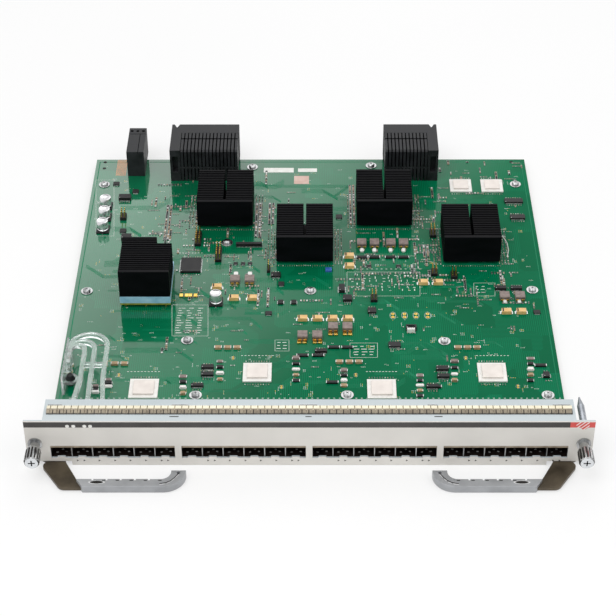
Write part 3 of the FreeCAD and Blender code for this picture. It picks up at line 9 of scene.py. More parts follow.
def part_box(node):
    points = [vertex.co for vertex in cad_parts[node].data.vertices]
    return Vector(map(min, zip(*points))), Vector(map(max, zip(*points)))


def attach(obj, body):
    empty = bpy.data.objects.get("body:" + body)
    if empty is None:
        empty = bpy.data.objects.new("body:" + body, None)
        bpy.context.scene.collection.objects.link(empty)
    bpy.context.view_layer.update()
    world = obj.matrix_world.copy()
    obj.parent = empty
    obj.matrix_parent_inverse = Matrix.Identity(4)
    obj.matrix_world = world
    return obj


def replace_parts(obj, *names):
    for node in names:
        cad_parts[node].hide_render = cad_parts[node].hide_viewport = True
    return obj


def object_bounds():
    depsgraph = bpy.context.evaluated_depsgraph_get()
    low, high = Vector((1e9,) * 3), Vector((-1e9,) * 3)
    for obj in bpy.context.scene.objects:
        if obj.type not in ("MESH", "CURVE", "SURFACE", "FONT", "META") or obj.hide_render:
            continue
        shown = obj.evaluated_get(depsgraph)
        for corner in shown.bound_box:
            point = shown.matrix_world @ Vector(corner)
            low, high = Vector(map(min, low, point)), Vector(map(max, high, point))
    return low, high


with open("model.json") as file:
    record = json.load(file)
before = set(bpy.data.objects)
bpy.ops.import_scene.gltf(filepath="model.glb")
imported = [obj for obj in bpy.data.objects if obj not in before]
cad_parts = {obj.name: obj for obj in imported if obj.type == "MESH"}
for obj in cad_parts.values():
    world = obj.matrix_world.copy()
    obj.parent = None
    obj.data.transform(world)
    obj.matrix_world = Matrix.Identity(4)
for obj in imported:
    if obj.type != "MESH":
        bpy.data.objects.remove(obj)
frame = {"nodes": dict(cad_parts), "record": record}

cad_box = [list(corner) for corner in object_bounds()]
random.seed(24)
MM = 0.001
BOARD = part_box("circuit_board")[1].z
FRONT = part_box("faceplate")[0].y
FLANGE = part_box("faceplate")[1].z
CARD = "card"

# The photograph's camera, solved from the card's straight edges
PHOTO_SIDE, FOCAL_PIXELS, SENSOR = 616, 1774.97, 36
DOWN, YAW, ROLL = (math.radians(angle) for angle in (38.094, 0.341, 0.226))
EYE = Vector((4.906, -896.721, 839.034)) * MM
level_right = Vector((math.cos(YAW), math.sin(YAW), 0))
ahead = Vector((-math.sin(YAW) * math.cos(DOWN), math.cos(YAW) * math.cos(DOWN), -math.sin(DOWN)))
level_up = Vector((-math.sin(YAW) * math.sin(DOWN), math.cos(YAW) * math.sin(DOWN), math.cos(DOWN)))
right = level_right * math.cos(ROLL) - level_up * math.sin(ROLL)
up = level_right * math.sin(ROLL) + level_up * math.cos(ROLL)


def make_camera():
    data = bpy.data.cameras.new("photo_camera")
    data.sensor_width = SENSOR
    data.lens = FOCAL_PIXELS / PHOTO_SIDE * SENSOR
    data.clip_start, data.clip_end = 0.05, 20
    camera = bpy.data.objects.new("photo_camera", data)
    camera.matrix_world = Matrix.Translation(EYE) @ Matrix((right, up, -ahead)).transposed().to_4x4()
    bpy.context.collection.objects.link(camera)
    bpy.context.scene.camera = camera


def at_pixel(px, py, z=BOARD):
    """Where a pixel of the photograph lies on the level plane at height z."""
    ray = pixel_ray(px, py)
    return EYE + ray * ((z - EYE.z) / ray.z)


def on_front(px, py):
    """Where a pixel of the photograph lies on the faceplate's front face."""
    ray = pixel_ray(px, py)
    return EYE + ray * ((FRONT - EYE.y) / ray.y)


def pixel_ray(px, py):
    middle = PHOTO_SIDE / 2
    return ahead * FOCAL_PIXELS + right * (px - middle) - up * (py - middle)


# Materials
def colour(red, green, blue):
    """A colour as it looks on a screen, as the shader's linear values."""
    linear = [c / 255 / 12.92 if c <= 10 else ((c / 255 + 0.055) / 1.055) ** 2.4 for c in (red, green, blue)]
    return (*linear, 1.0)


class Look:
    """A material built from nodes, with places taken from the row frame."""

    def __init__(self, name):
        self.material = bpy.data.materials.new(name)
        self.material.use_nodes = True
        self.tree = self.material.node_tree
        self.tree.nodes.clear()
        self.shader = self.add("ShaderNodeBsdfPrincipled")
        self.link(self.shader.outputs[0], self.add("ShaderNodeOutputMaterial").inputs[0])
        self.place = self.add("ShaderNodeTexCoord").outputs["Object"]

    def add(self, kind, **settings):
        node = self.tree.nodes.new(kind)
        for key, value in settings.items():
            setattr(node, key, value)
        return node

    def link(self, source, target):
        self.tree.links.new(source, target)

    def scaled(self, stretch):
        mapping = self.add("ShaderNodeMapping")
        mapping.inputs["Scale"].default_value = stretch
        self.link(self.place, mapping.inputs["Vector"])
        return mapping.outputs[0]

    def noise(self, scale, detail=3, stretch=(1, 1, 1)):
        node = self.add("ShaderNodeTexNoise")
        node.inputs["Scale"].default_value = scale
        node.inputs["Detail"].default_value = detail
        self.link(self.scaled(stretch), node.inputs["Vector"])
        return node.outputs["Fac"]

    def ramp(self, value, stops):
        node = self.add("ShaderNodeValToRGB")
        elements = node.color_ramp.elements
        while len(elements) < len(stops):
            elements.new(0.5)
        for element, (position, shade) in zip(elements, stops):
            element.position, element.color = position, shade
        self.link(value, node.inputs["Fac"])
        return node.outputs["Color"]

    def spread(self, value, low, high, start=0.3, end=0.7):
        node = self.add("ShaderNodeMapRange")
        for name, number in (("From Min", start), ("From Max", end), ("To Min", low), ("To Max", high)):
            node.inputs[name].default_value = number
        self.link(value, node.inputs["Value"])
        return node.outputs["Result"]

    def math(self, operation, first, second):
        node = self.add("ShaderNodeMath", operation=operation)
        for socket, value in zip(node.inputs, (first, second)):
            if isinstance(value, (int, float)):
                socket.default_value = value
            else:
                self.link(value, socket)
        return node.outputs[0]

    def axis(self, name):
        node = self.add("ShaderNodeSeparateXYZ")
        self.link(self.place, node.inputs[0])
        return node.outputs[name]

    def inside(self, axis, low, high):
        """1 where the place along an axis lies between two values, in millimetres."""
        value = self.axis(axis)
        return self.math(
            "MULTIPLY", self.math("GREATER_THAN", value, low * MM), self.math("LESS_THAN", value, high * MM))

    def mix(self, factor, first, second):
        node = self.add("ShaderNodeMix", data_type="RGBA")
        self.link(factor, node.inputs["Factor"])
        for socket, value in zip([i for i in node.inputs if i.type == "RGBA"], (first, second)):
            if isinstance(value, tuple):
                socket.default_value = value
            else:
                self.link(value, socket)
        return next(o for o in node.outputs if o.type == "RGBA")

    def paint(self, shade):
        self.link(shade, self.shader.inputs["Base Color"])

    def bump(self, value, strength, depth):
        node = self.add("ShaderNodeBump")
        node.inputs["Strength"].default_value = strength
        node.inputs["Distance"].default_value = depth * MM
        self.link(value, node.inputs["Height"])
        self.link(node.outputs[0], self.shader.inputs["Normal"])


def surface(name, dark, light, rough, metal=0.0, scale=60, stretch=(1, 1, 1), grain=900, depth=0.02, **sockets):
    """Cloudy colour between two shades, roughness that follows it, and a fine grain."""
    look = Look(name)
    clouds = look.noise(scale, 4, stretch)
    look.paint(look.ramp(clouds, [(0.32, colour(*dark)), (0.68, colour(*light))]))
    look.link(look.spread(clouds, *rough), look.shader.inputs["Roughness"])
    look.shader.inputs["Metallic"].default_value = metal
    look.bump(look.noise(grain, 2, stretch), 0.35, depth)
    for socket, value in sockets.items():
        look.shader.inputs[socket.replace("_", " ")].default_value = value
    return look


def faceplate_look():
    """Pale paint with a dark band along the top of the front face and a red patch at its right end."""
    look = surface("faceplate_paint", (204, 199, 190), (214, 209, 201), (0.42, 0.52), scale=25, depth=0.012)
    clouds = look.noise(25, 4)
    pale = look.ramp(clouds, [(0.3, colour(216, 213, 207)), (0.7, colour(226, 223, 217))])
    front = look.math("LESS_THAN", look.axis("Y"), -1.5 * MM)
    band = look.math("MULTIPLY", front, look.inside("Z", 34.5, 39.3))
    red = look.math("MULTIPLY", band, look.inside("X", 176.5, 193.4))
    charcoal = look.ramp(look.noise(70, 3), [(0.3, colour(58, 56, 55)), (0.7, colour(70, 68, 66))])
    zinc = look.ramp(look.noise(30, 4, (0.2, 1, 1)), [(0.3, colour(186, 196, 200)), (0.7, colour(202, 210, 213))])
    pale = look.mix(look.math("GREATER_THAN", look.axis("Y"), -1.2 * MM), pale, zinc)
    look.paint(look.mix(red, look.mix(band, pale, charcoal), striped_red(look)))
    return look.material


def striped_red(look):
    """Coral red with three slanted pale stripes."""
    crimson = look.ramp(look.noise(80, 3), [(0.3, colour(208, 74, 70)), (0.7, colour(224, 92, 86))])
    slant = look.math("SUBTRACT", look.axis("X"), look.axis("Z"))
    step = look.math("MODULO", look.math("ADD", slant, 0.0004), 3.0 * MM)
    stripe = look.math("MULTIPLY", look.math("LESS_THAN", step, 1.1 * MM), look.inside("X", 180.6, 189.5))
    return look.mix(stripe, crimson, colour(240, 226, 222))


def pin_look():
    """Plated pin whose front end is covered by the red patch."""
    look = surface("pin_plating", (128, 132, 138), (168, 172, 178), (0.2, 0.32), 0.9, 120)
    steel = look.ramp(look.noise(120, 4), [(0.3, colour(128, 132, 138)), (0.7, colour(170, 174, 180))])
    front = look.math("LESS_THAN", look.axis("Y"), -1.5 * MM)
    look.paint(look.mix(front, steel, striped_red(look)))
    look.link(look.math("SUBTRACT", 0.9, look.math("MULTIPLY", front, 0.9)), look.shader.inputs["Metallic"])
    return look.material


def knob_look():
    """Nickel with a pale satin face, and painted shade on the walls of its cross recess."""
    look = surface("knob_nickel", (146, 147, 148), (186, 187, 187), (0.18, 0.3), 1.0, 150)
    plated = look.ramp(look.noise(150, 4), [(0.3, colour(146, 147, 148)), (0.7, colour(186, 187, 187))])
    face = look.math("LESS_THAN", look.axis("Y"), -21.55 * MM)
    # Painted shade: the walls of the cross recess are painted near black and not metallic
    recess = look.math("MULTIPLY", look.inside("Y", -21.55, -20.1), look.inside("Z", 17.4, 22.6))
    shade = look.mix(recess, plated, colour(22, 21, 20))
    look.paint(look.mix(face, shade, colour(222, 225, 228)))
    dull = look.math("MAXIMUM", recess, look.math("MULTIPLY", face, 0.8))
    look.link(look.math("SUBTRACT", 1.0, dull), look.shader.inputs["Metallic"])
    return look.material


def cage_look(name, open_front):
    """Zinc sheet outside, and painted shade on the sheet inside the ports."""
    look = surface(name, (150, 152, 152), (186, 188, 187), (0.32, 0.46), 0.75, 90, (1, 0.2, 1))
    sheet = look.ramp(look.noise(90, 4), [(0.3, colour(150, 152, 152)), (0.7, colour(188, 190, 189))])
    # Painted shade: the sheet inside the ports is painted near black and not metallic
    inner_shade = look.ramp(look.noise(160, 4), [(0.3, colour(14, 9, 8)), (0.7, colour(44, 34, 30))])
    port_shade = look.math("MULTIPLY", look.inside("Z", 6.1, 15.5), look.inside("Y", open_front, 48.2))
    look.paint(look.mix(look.math("MULTIPLY", port_shade, look.inside("X", -177.3, 177.3)), sheet, inner_shade))
    look.link(look.math("SUBTRACT", 0.75, look.math("MULTIPLY", port_shade, 0.75)), look.shader.inputs["Metallic"])
    return look.material


def gasket_look():
    """Sprung fingers: cream on their crowns, with painted shade on their front slope, darkest at its front edge and
    in its slots.
    """
    look = surface("finger_metal", (196, 186, 160), (222, 214, 192), (0.3, 0.42), metal=0.55, scale=120)
    crown = look.ramp(look.noise(120, 4), [(0.3, colour(202, 194, 170)), (0.7, colour(226, 219, 198))])
    # Painted shade: the front slope is a darker copy of the crowns' metal, darkest at its front edge
    slope = look.ramp(look.noise(160, 4), [(0.3, colour(122, 112, 98)), (0.7, colour(158, 148, 130))])
    shaded = look.mix(look.inside("Y", 5.0, 6.3), slope, colour(84, 80, 74))
    # Painted shade in the staggered slots cut in the front slope
    step = look.math("MODULO", look.math("ADD", look.axis("X"), 0.4), 4.7 * MM)
    slot = look.math("MULTIPLY", look.math("LESS_THAN", step, 0.7 * MM), look.inside("Y", 5.0, 8.6))
    look.paint(look.mix(slot, look.mix(look.inside("Y", 5.0, 9.6), crown, shaded), colour(50, 46, 42)))
    return look.material


def board_look():
    """Green mask over copper: clouds, plane edges and fine parallel tracks, under a clear coat."""
    look = surface("green_board", (0, 84, 58), (4, 104, 74), (0.3, 0.4), scale=9, grain=2400, depth=0.004,
                   Specular_IOR_Level=0.02)
    base = look.ramp(look.noise(9, 3), [(0.25, colour(0, 92, 58)), (0.75, colour(0, 110, 72))])
    fields = look.add("ShaderNodeTexVoronoi", distance="CHEBYCHEV")
    fields.inputs["Scale"].default_value = 34
    look.link(look.place, fields.inputs["Vector"])
    pick = look.add("ShaderNodeSeparateColor")
    look.link(fields.outputs["Color"], pick.inputs[0])
    shade = base
    for direction, channel, tint in (("X", 0, (4, 120, 80)), ("Y", 1, (4, 116, 78))):
        wave = look.add("ShaderNodeTexWave", bands_direction=direction)
        wave.inputs["Scale"].default_value = 210
        wave.inputs["Distortion"].default_value = 0
        look.link(look.place, wave.inputs["Vector"])
        lines = look.math("GREATER_THAN", wave.outputs["Fac"], 0.72)
        here = look.math("GREATER_THAN", pick.outputs[channel], 0.62)
        shade = look.mix(look.math("MULTIPLY", lines, here), shade, colour(*tint))
    copper = look.math("GREATER_THAN", pick.outputs[2], 0.8)
    shade = look.mix(look.math("MULTIPLY", copper, 0.12), shade, colour(16, 128, 90))
    edge = look.math("LESS_THAN", look.axis("Z"), BOARD - 0.3 * MM)
    look.paint(look.mix(edge, shade, colour(120, 128, 84)))
    # The clear coat is thick at the rear left and thin towards the front right
    lean = look.math("SUBTRACT", look.math("MULTIPLY", look.axis("Y"), 0.7), look.axis("X"))
    look.link(look.spread(lean, 0.03, 1.0, 0.06, 0.36), look.shader.inputs["Coat Weight"])
    look.shader.inputs["Coat Roughness"].default_value = 0.06
    look.shader.inputs["Coat IOR"].default_value = 1.75
    return look.material


LOOKS = {
    "zinc_sheet": surface(
        "zinc_sheet", (176, 177, 176), (204, 205, 203), (0.3, 0.45), 0.9, 90, (1, 0.2, 1)).material,
    "spring_metal": surface(
        "spring_metal", (120, 108, 88), (168, 156, 132), (0.3, 0.42), 0.75, 140).material,
    "nickel": surface("nickel", (146, 147, 148), (186, 187, 187), (0.16, 0.28), 1.0, 150).material,
    "dark_bronze": surface(
        "dark_bronze", (70, 62, 50), (98, 88, 72), (0.34, 0.46), 0.45, 70, depth=0.03).material,
    "grip_alloy": surface(
        "grip_alloy", (150, 152, 155), (174, 176, 179), (0.36, 0.46), 0.45, 60, depth=0.03).material,
    "black_anodised": surface(
        "black_anodised", (3, 3, 5), (9, 9, 13), (0.46, 0.6), 0.0, 120, (0.3, 1, 1),
        Specular_IOR_Level=0.08).material,
    "module_plate": surface(
        "module_plate", (134, 186, 214), (172, 214, 236), (0.3, 0.4), 0.0, 160).material,
    "module_board": surface(
        "module_board", (120, 128, 44), (154, 160, 66), (0.35, 0.5), 0.0, 260).material,
    "chip_lid_metal": surface(
        "chip_lid_metal", (220, 211, 204), (236, 228, 221), (0.38, 0.5), 0.1, 120).material,
    "black_plastic": surface(
        "black_plastic", (14, 14, 15), (30, 30, 31), (0.42, 0.56), 0.0, 180, Specular_IOR_Level=0.3).material,
    "grey_plastic": surface(
        "grey_plastic", (24, 25, 27), (42, 43, 46), (0.44, 0.58), 0.0, 140, Specular_IOR_Level=0.25).material,
    "orange_case": surface(
        "orange_case", (218, 172, 104), (238, 200, 138), (0.38, 0.5), 0.0, 260).material,
    "can_aluminium": surface(
        "can_aluminium", (214, 214, 216), (236, 236, 238), (0.22, 0.32), 0.85, 160).material,
    "gold_contact": surface(
        "gold_contact", (196, 156, 70), (226, 190, 104), (0.2, 0.32), 0.95, 260).material,
    "clear_acrylic": surface(
        "clear_acrylic", (232, 240, 238), (250, 252, 252), (0.04, 0.12), 0.0, 60, depth=0.01,
        Transmission_Weight=0.85, IOR=1.49).material,
    "led_body": surface("led_body", (222, 208, 160), (240, 228, 186), (0.4, 0.5), 0.0, 200).material,
}
SOLDER = surface("solder", (176, 178, 178), (214, 215, 214), (0.22, 0.36), 0.9, 500).material
INK = surface("white_ink", (214, 222, 214), (236, 240, 234), (0.55, 0.7), 0.0, 500).material
LABEL = surface("paper_label", (228, 228, 222), (244, 244, 240), (0.6, 0.75), 0.0, 200).material
ROSE = surface("rose_label", (206, 174, 160), (222, 194, 182), (0.6, 0.75), 0.0, 200).material
TAN = surface("tan_ceramic", (150, 124, 92), (182, 156, 120), (0.45, 0.6), 0.0, 700).material
FERRITE = surface("brown_ferrite", (116, 102, 98), (148, 133, 127), (0.5, 0.65), 0.0, 420).material
TINNED = surface("tinned_end", (128, 131, 129), (170, 172, 170), (0.3, 0.44), 0.5, 500).material
TRACK = surface(
    "raised_track", (2, 112, 76), (8, 128, 88), (0.3, 0.4), 0.0, 90, Specular_IOR_Level=0.1).material
COPPER = surface("bare_copper", (190, 120, 84), (214, 150, 112), (0.3, 0.42), 0.8, 260).material
BLUE = surface("blue_case", (40, 84, 160), (62, 110, 190), (0.4, 0.5), 0.0, 300).material
CERAMIC = surface("white_ceramic", (232, 229, 224), (244, 242, 238), (0.5, 0.62), 0.0, 260).material
# Dark for painted shade in flutes, nicks, recesses, grooves and holes, and for dark printed marks
DARK = surface("painted_shade_and_dark_marks", (24, 23, 22), (46, 44, 42), (0.5, 0.65), 0.0, 200, Specular_IOR_Level=0.2).material
SATIN = surface("satin_face", (206, 210, 213), (232, 234, 236), (0.34, 0.46), 0.3, 200).material
# Painted highlight on the rims of the grips' thumb recess and groove
PAINTED_HIGHLIGHT = surface("painted_edge_highlight", (206, 208, 210), (230, 231, 232), (0.26, 0.38), 0.5, 200).material
BLACK = LOOKS["black_plastic"]
GOLD = LOOKS["gold_contact"]
PORT_PARTS = {
    f"port_{part}_{number}": cage_look(f"port_{part}_{number}_look", 0.0 if part == "cage" else 2.0)
    for part in ("cage", "dividers") for number in (1, 2, 3, 4)}
PORT_CORE = surface("port_core", (12, 8, 7), (36, 27, 24), (0.45, 0.6), 0.0, 260, Specular_IOR_Level=0.2).material
SPECIAL = {
    **PORT_PARTS,
    **{f"port_connectors_{number}": PORT_CORE for number in (1, 2, 3, 4)},
    "port_gaskets": surface("port_spring", (138, 124, 106), (170, 156, 136), (0.36, 0.5), 0.1, 220).material,
    "guide_pin": pin_look(),
    "left_captive_screw": knob_look(),
    "right_captive_screw": knob_look(),
    "faceplate": faceplate_look(),
    "emi_gasket_strip": gasket_look(),
    "circuit_board": board_look(),
    "chip_substrates": CERAMIC,
    "power_inductors": FERRITE,
}


def dress_nodes():
    for subpart in frame["record"]["subparts"]:
        name, slot = subpart["node"], subpart["material_slot"]
        node = frame["nodes"][name]
        material = SPECIAL.get(name) or LOOKS[slot]
        if not node.data.materials:
            node.data.materials.append(material)
        for place in node.material_slots:
            place.material = material


def soften(names, width, segments=2):
    """Small rounded edges, which catch the light as pressed and moulded edges do."""
    for name in names:
        node = frame["nodes"][name]
        weld = node.modifiers.new("weld", "WELD")
        weld.merge_threshold = 0.002 * MM
        bevel = node.modifiers.new("edges", "BEVEL")
        bevel.width, bevel.segments = width * MM, segments
        bevel.limit_method, bevel.angle_limit = "ANGLE", math.radians(35)
        bevel.harden_normals = False


# Geometry of the small parts
class Piece:
    """Gathers many small shapes and turns them into one object."""

    def __init__(self, name, *materials):
        self.name, self.materials = name, materials
        self.points, self.faces, self.skins = [], [], []

    def stack(self, rings, skin=0):
        """Rings of points, lowest first, joined by faces and closed at both ends."""
        start, count = len(self.points), len(rings[0])
        for ring in rings:
            self.points += ring
        faces = [tuple(reversed(range(count)))]
        for level in range(len(rings) - 1):
            low, high = level * count, (level + 1) * count
            faces += [(low + i, low + (i + 1) % count, high + (i + 1) % count, high + i) for i in range(count)]
        faces.append(tuple(range((len(rings) - 1) * count, len(rings) * count)))
        self.faces += [tuple(start + i for i in face) for face in faces]
        self.skins += [skin] * len(faces)

    def block(self, x, y, z, width, length, height, skin=0, chamfer=0.0, turn=0.0):
        """A block standing at height z, with its upper edges cut off."""
        cos, sin = math.cos(turn), math.sin(turn)

        def ring(inset, level):
            half_w, half_l = width / 2 - inset, length / 2 - inset
            corners = ((-half_w, -half_l), (half_w, -half_l), (half_w, half_l), (-half_w, half_l))
            return [(x + a * cos - b * sin, y + a * sin + b * cos, z + level) for a, b in corners]

        rings = [ring(0, 0), ring(0, height - chamfer)]
        if chamfer:
            rings.append(ring(chamfer, height))
        self.stack(rings, skin)

    def turned(self, x, y, profile, sides=18, skin=0):
        """An upright round part, from pairs of radius and height."""
        angles = [2 * math.pi * i / sides for i in range(sides)]
        self.stack([[(x + r * math.cos(a), y + r * math.sin(a), z) for a in angles] for r, z in profile], skin)

    def strip(self, start, end, width, height, skin=0, level=BOARD):
        """A thin flat run at a level height from one place to another."""
        along = Vector((end[0] - start[0], end[1] - start[1], 0))
        if along.length < 1e-6:
            return
        middle = ((start[0] + end[0]) / 2, (start[1] + end[1]) / 2)
        self.block(*middle, level - 0.01 * MM, along.length + width, width, height, skin,
                   turn=math.atan2(along.y, along.x))

    def facing(self, x, front, z, radius, depth, sides=20, skin=0, flat=1.0):
        """A disc that looks towards the front."""
        angles = [-2 * math.pi * i / sides for i in range(sides)]
        self.stack([[(x + radius * math.cos(a), y, z + flat * radius * math.sin(a)) for a in angles]
                    for y in (front, front + depth)], skin)

    def make(self, body=CARD, smooth=False):
        mesh = bpy.data.meshes.new(self.name)
        mesh.from_pydata([tuple(point) for point in self.points], [], self.faces)
        for material in self.materials:
            mesh.materials.append(material)
        mesh.polygons.foreach_set("material_index", self.skins)
        if smooth:
            mesh.shade_smooth()
            mesh.set_sharp_from_angle(angle=math.radians(35))
        mesh.update()
        item = bpy.data.objects.new(self.name, mesh)
        bpy.context.collection.objects.link(item)
        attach(item, body)
        return item


def islands(name):
    """The box of every separate solid in a CAD node, as its middle, size and lowest height."""
    node = frame["nodes"][name]
    places = [node.matrix_world @ vertex.co for vertex in node.data.vertices]
    keys = [tuple(round(value * 1e5) for value in place) for place in places]
    leader = {key: key for key in keys}

    def top(key):
        while leader[key] != key:
            leader[key] = leader[leader[key]]
            key = leader[key]
        return key

    for face in node.data.polygons:
        first = top(keys[face.vertices[0]])
        for index in face.vertices[1:]:
            leader[top(keys[index])] = first
    groups = {}
    for key, place in zip(keys, places):
        groups.setdefault(top(key), []).append(place)
    boxes = []
    for group in groups.values():
        low, high = (Vector(pick(p[i] for p in group) for i in range(3)) for pick in (min, max))
        boxes.append(((low + high) / 2, high - low, low.z))
    return sorted(boxes, key=lambda found: (round(found[0].x, 4), round(found[0].y, 4)))


def board_fasteners():
    """Pan heads on washers, with a black cross on top as painted shade of the cross recess, in place of the plain
    prisms.
    """
    piece = Piece("board_screw_heads", LOOKS["nickel"], BLACK)
    for middle, size, low in islands("board_screws"):
        x, y = middle.x, middle.y
        deck = BOARD + 0.7 * MM
        washer = size.x / 2
        piece.turned(x, y, [
            (1.4 * MM, low), (1.4 * MM, BOARD), (washer - 0.1 * MM, BOARD), (washer, BOARD + 0.1 * MM),
            (washer, deck - 0.1 * MM), (washer - 0.1 * MM, deck), (2.9 * MM, deck),
            (2.9 * MM, deck + 1.1 * MM), (2.4 * MM, deck + 1.7 * MM), (1.3 * MM, deck + 2.0 * MM)], 28)
        turn = random.uniform(0, math.pi)
        # Painted shade: two thin black bars on the head stand for the cross recess
        for quarter in (0, math.pi / 2):
            piece.block(x, y, deck + 1.9 * MM, 2.4 * MM, 0.5 * MM, 0.12 * MM, 1, turn=turn + quarter)
    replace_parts(piece.make(smooth=True), "board_screws")


def can_shells():
    """Rolled cans with a grooved foot, a rounded rim and a dark mark on the top."""
    piece = Piece("can_shells", LOOKS["can_aluminium"], BLACK)
    for middle, size, low in islands("capacitor_cans"):
        x, y, r, top = middle.x, middle.y, size.x / 2, low + size.z
        piece.turned(x, y, [
            (r - 0.5 * MM, low), (r, low + 0.4 * MM), (r, low + 1.0 * MM), (r - 0.35 * MM, low + 1.4 * MM),
            (r, low + 1.9 * MM), (r, top - 0.6 * MM), (r - 0.2 * MM, top - 0.2 * MM), (r - 0.7 * MM, top),
            (r - 0.9 * MM, top - 0.12 * MM)], 32)
        arc = [math.radians(40 + 100 * i / 12) for i in range(13)]
        reach = r - 1.1 * MM
        rings = [[(x + reach * math.cos(a), y + reach * math.sin(a), z) for a in arc]
                 for z in (top - 0.14 * MM, top - 0.06 * MM)]
        piece.stack(rings, 1)
    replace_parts(piece.make(smooth=True), "capacitor_cans")


def component_details():
    """Terminals, marks and leads on the parts that the frame carries."""
    metal = Piece("part_terminals", SOLDER, GOLD)
    marks = Piece("part_marks", BLACK, INK)
    for middle, size, low in islands("tantalum_capacitors"):
        for side in (-1, 1):
            metal.block(middle.x + side * (size.x / 2 + 0.15 * MM), middle.y, low, 0.5 * MM, size.y * 0.62,
                        size.z * 0.55)
            metal.block(middle.x + side * (size.x / 2 + 0.7 * MM), middle.y, low, 1.0 * MM, size.y * 0.75,
                        0.12 * MM)
        marks.block(middle.x - size.x * 0.36, middle.y, low + size.z, size.x * 0.14, size.y * 0.9, 0.04 * MM)
    for middle, size, low in islands("power_inductors"):
        for side in (-1, 1):
            metal.block(middle.x + side * size.x * 0.27, middle.y - size.y / 2, low, size.x * 0.3, 0.7 * MM,
                        size.z * 0.45, 1, 0.1 * MM)
        marks.block(middle.x, middle.y - size.y / 2 - 0.02 * MM, low + size.z * 0.5, size.x * 0.96, 0.1 * MM,
                    size.z * 0.12)
    for middle, size, low in islands("small_chips"):
        lead_row(metal, middle.x, middle.y, size.x, size.y)
        marks.turned(middle.x - size.x / 2 + 0.9 * MM, middle.y - size.y / 2 + 0.9 * MM, [
            (0.3 * MM, low + size.z), (0.3 * MM, low + size.z + 0.03 * MM)], 10, 1)
    for middle, size, low in islands("capacitor_bases"):
        for side in (-1, 1):
            metal.block(middle.x, middle.y + side * (size.y / 2 + 0.5 * MM), low, 1.0 * MM, 1.4 * MM, 0.25 * MM)
    metal.make()
    marks.make()


def lead_row(piece, x, y, width, length, pitch=0.8 * MM, reach=0.9 * MM):
    """Bent leads along the two long sides of a package."""
    if width >= length:
        count = max(2, int((width - 0.8 * MM) / pitch))
        for i in range(count):
            at = x + (i - (count - 1) / 2) * pitch
            for side in (-1, 1):
                edge = y + side * length / 2
                piece.block(at, edge + side * reach / 2, BOARD, 0.34 * MM, reach, 0.2 * MM)
                piece.block(at, edge + side * 0.14 * MM, BOARD, 0.34 * MM, 0.28 * MM, 0.8 * MM)
    else:
        count = max(2, int((length - 0.8 * MM) / pitch))
        for i in range(count):
            at = y + (i - (count - 1) / 2) * pitch
            for side in (-1, 1):
                edge = x + side * width / 2
                piece.block(edge + side * reach / 2, at, BOARD, reach, 0.34 * MM, 0.2 * MM)
                piece.block(edge + side * 0.14 * MM, at, BOARD, 0.28 * MM, 0.34 * MM, 0.8 * MM)


# Photo pixels of parts that only this script carries: middle, then width, length and height in mm
SMALL_PACKAGES = (
    (281.3, 283.1, 4.5, 4.5, 1.3), (268.5, 312.5, 5, 4, 1.3), (347.5, 298, 5, 4, 1.3), (371.3, 311.3, 4.5, 4, 1.2),
    (536.9, 311.3, 5, 4, 1.3), (135.6, 190.6, 5, 4.4, 1.4), (116.3, 183, 5, 4.4, 1.4), (123, 230, 5, 5, 1.4),
    (339, 216, 5, 5, 1.4), (235.6, 263, 3.2, 3.2, 1), (243.1, 263, 3.2, 3.2, 1), (250, 263, 3.2, 3.2, 1),
    (369, 265.6, 3.6, 3, 1), (398.5, 265.6, 3.6, 3, 1), (280.6, 301.3, 4, 4.6, 1.5), (293.8, 301.3, 4, 4.6, 1.5),
)
BLACK_BARS = (
    (302.5, 354.4), (318.1, 354.4), (333.8, 346.3), (347.3, 346.3), (362, 256.3), (374.4, 256.3),
    (390.6, 256.3), (403.5, 256.3), (332.3, 381.3), (435.6, 385.6), (443, 366.3), (540.6, 364.4),
)
WHITE_BARS = (
    (362, 249.4), (374.4, 249.4), (390.6, 249.4), (403.5, 249.4), (505, 300.6), (519.4, 300.6),
    (236, 273), (250, 273),
)
GOLD_BLOCKS = ((301.9, 342.5), (317.5, 342.5), (333.1, 334.4), (347.5, 334.4), (184, 296), (193, 296))
BROWN_BLOCKS = (
    (218, 346.3), (227.5, 346.3), (237, 346.3), (458, 346.3), (467.5, 346.3), (477, 346.3),
    (339.4, 360.6), (349.4, 360.6), (358.8, 360.6), (114.6, 362.4), (124.3, 362.4),
)
CLUSTERS = (
    (183, 377, 394), (220, 362, 380), (296, 359, 381), (344, 371, 386), (420, 376, 396), (454.5, 362, 381),
    (530.5, 359, 381), (108.5, 380, 387), (95.7, 387, 393),
)
OVAL_PADS = ((392.9, 315.5), (404.6, 315.5), (416, 315.5), (427.7, 315.5))
LONE_PADS = ((118.8, 375), (233.2, 358), (281.4, 387), (355.8, 375), (465.8, 358), (518, 386.5))
# Crowded fields in the photograph: two corners, and how many groups of tiny parts
CROWDED = (
    (145, 196, 198, 256, 34), (188, 222, 262, 262, 22), (225, 258, 262, 306, 16), (258, 180, 278, 260, 14),
    (345, 236, 428, 278, 34), (412, 196, 446, 286, 34), (430, 160, 556, 198, 26), (340, 268, 430, 300, 22),
    (428, 268, 512, 300, 20), (180, 282, 204, 302, 10), (250, 296, 345, 330, 12), (455, 285, 545, 315, 14),
)
STRIPED_ROWS = ((426.3, 246, 257), (166, 206, 240), (271, 204, 224), (257.5, 204, 237), (352.5, 186, 224))


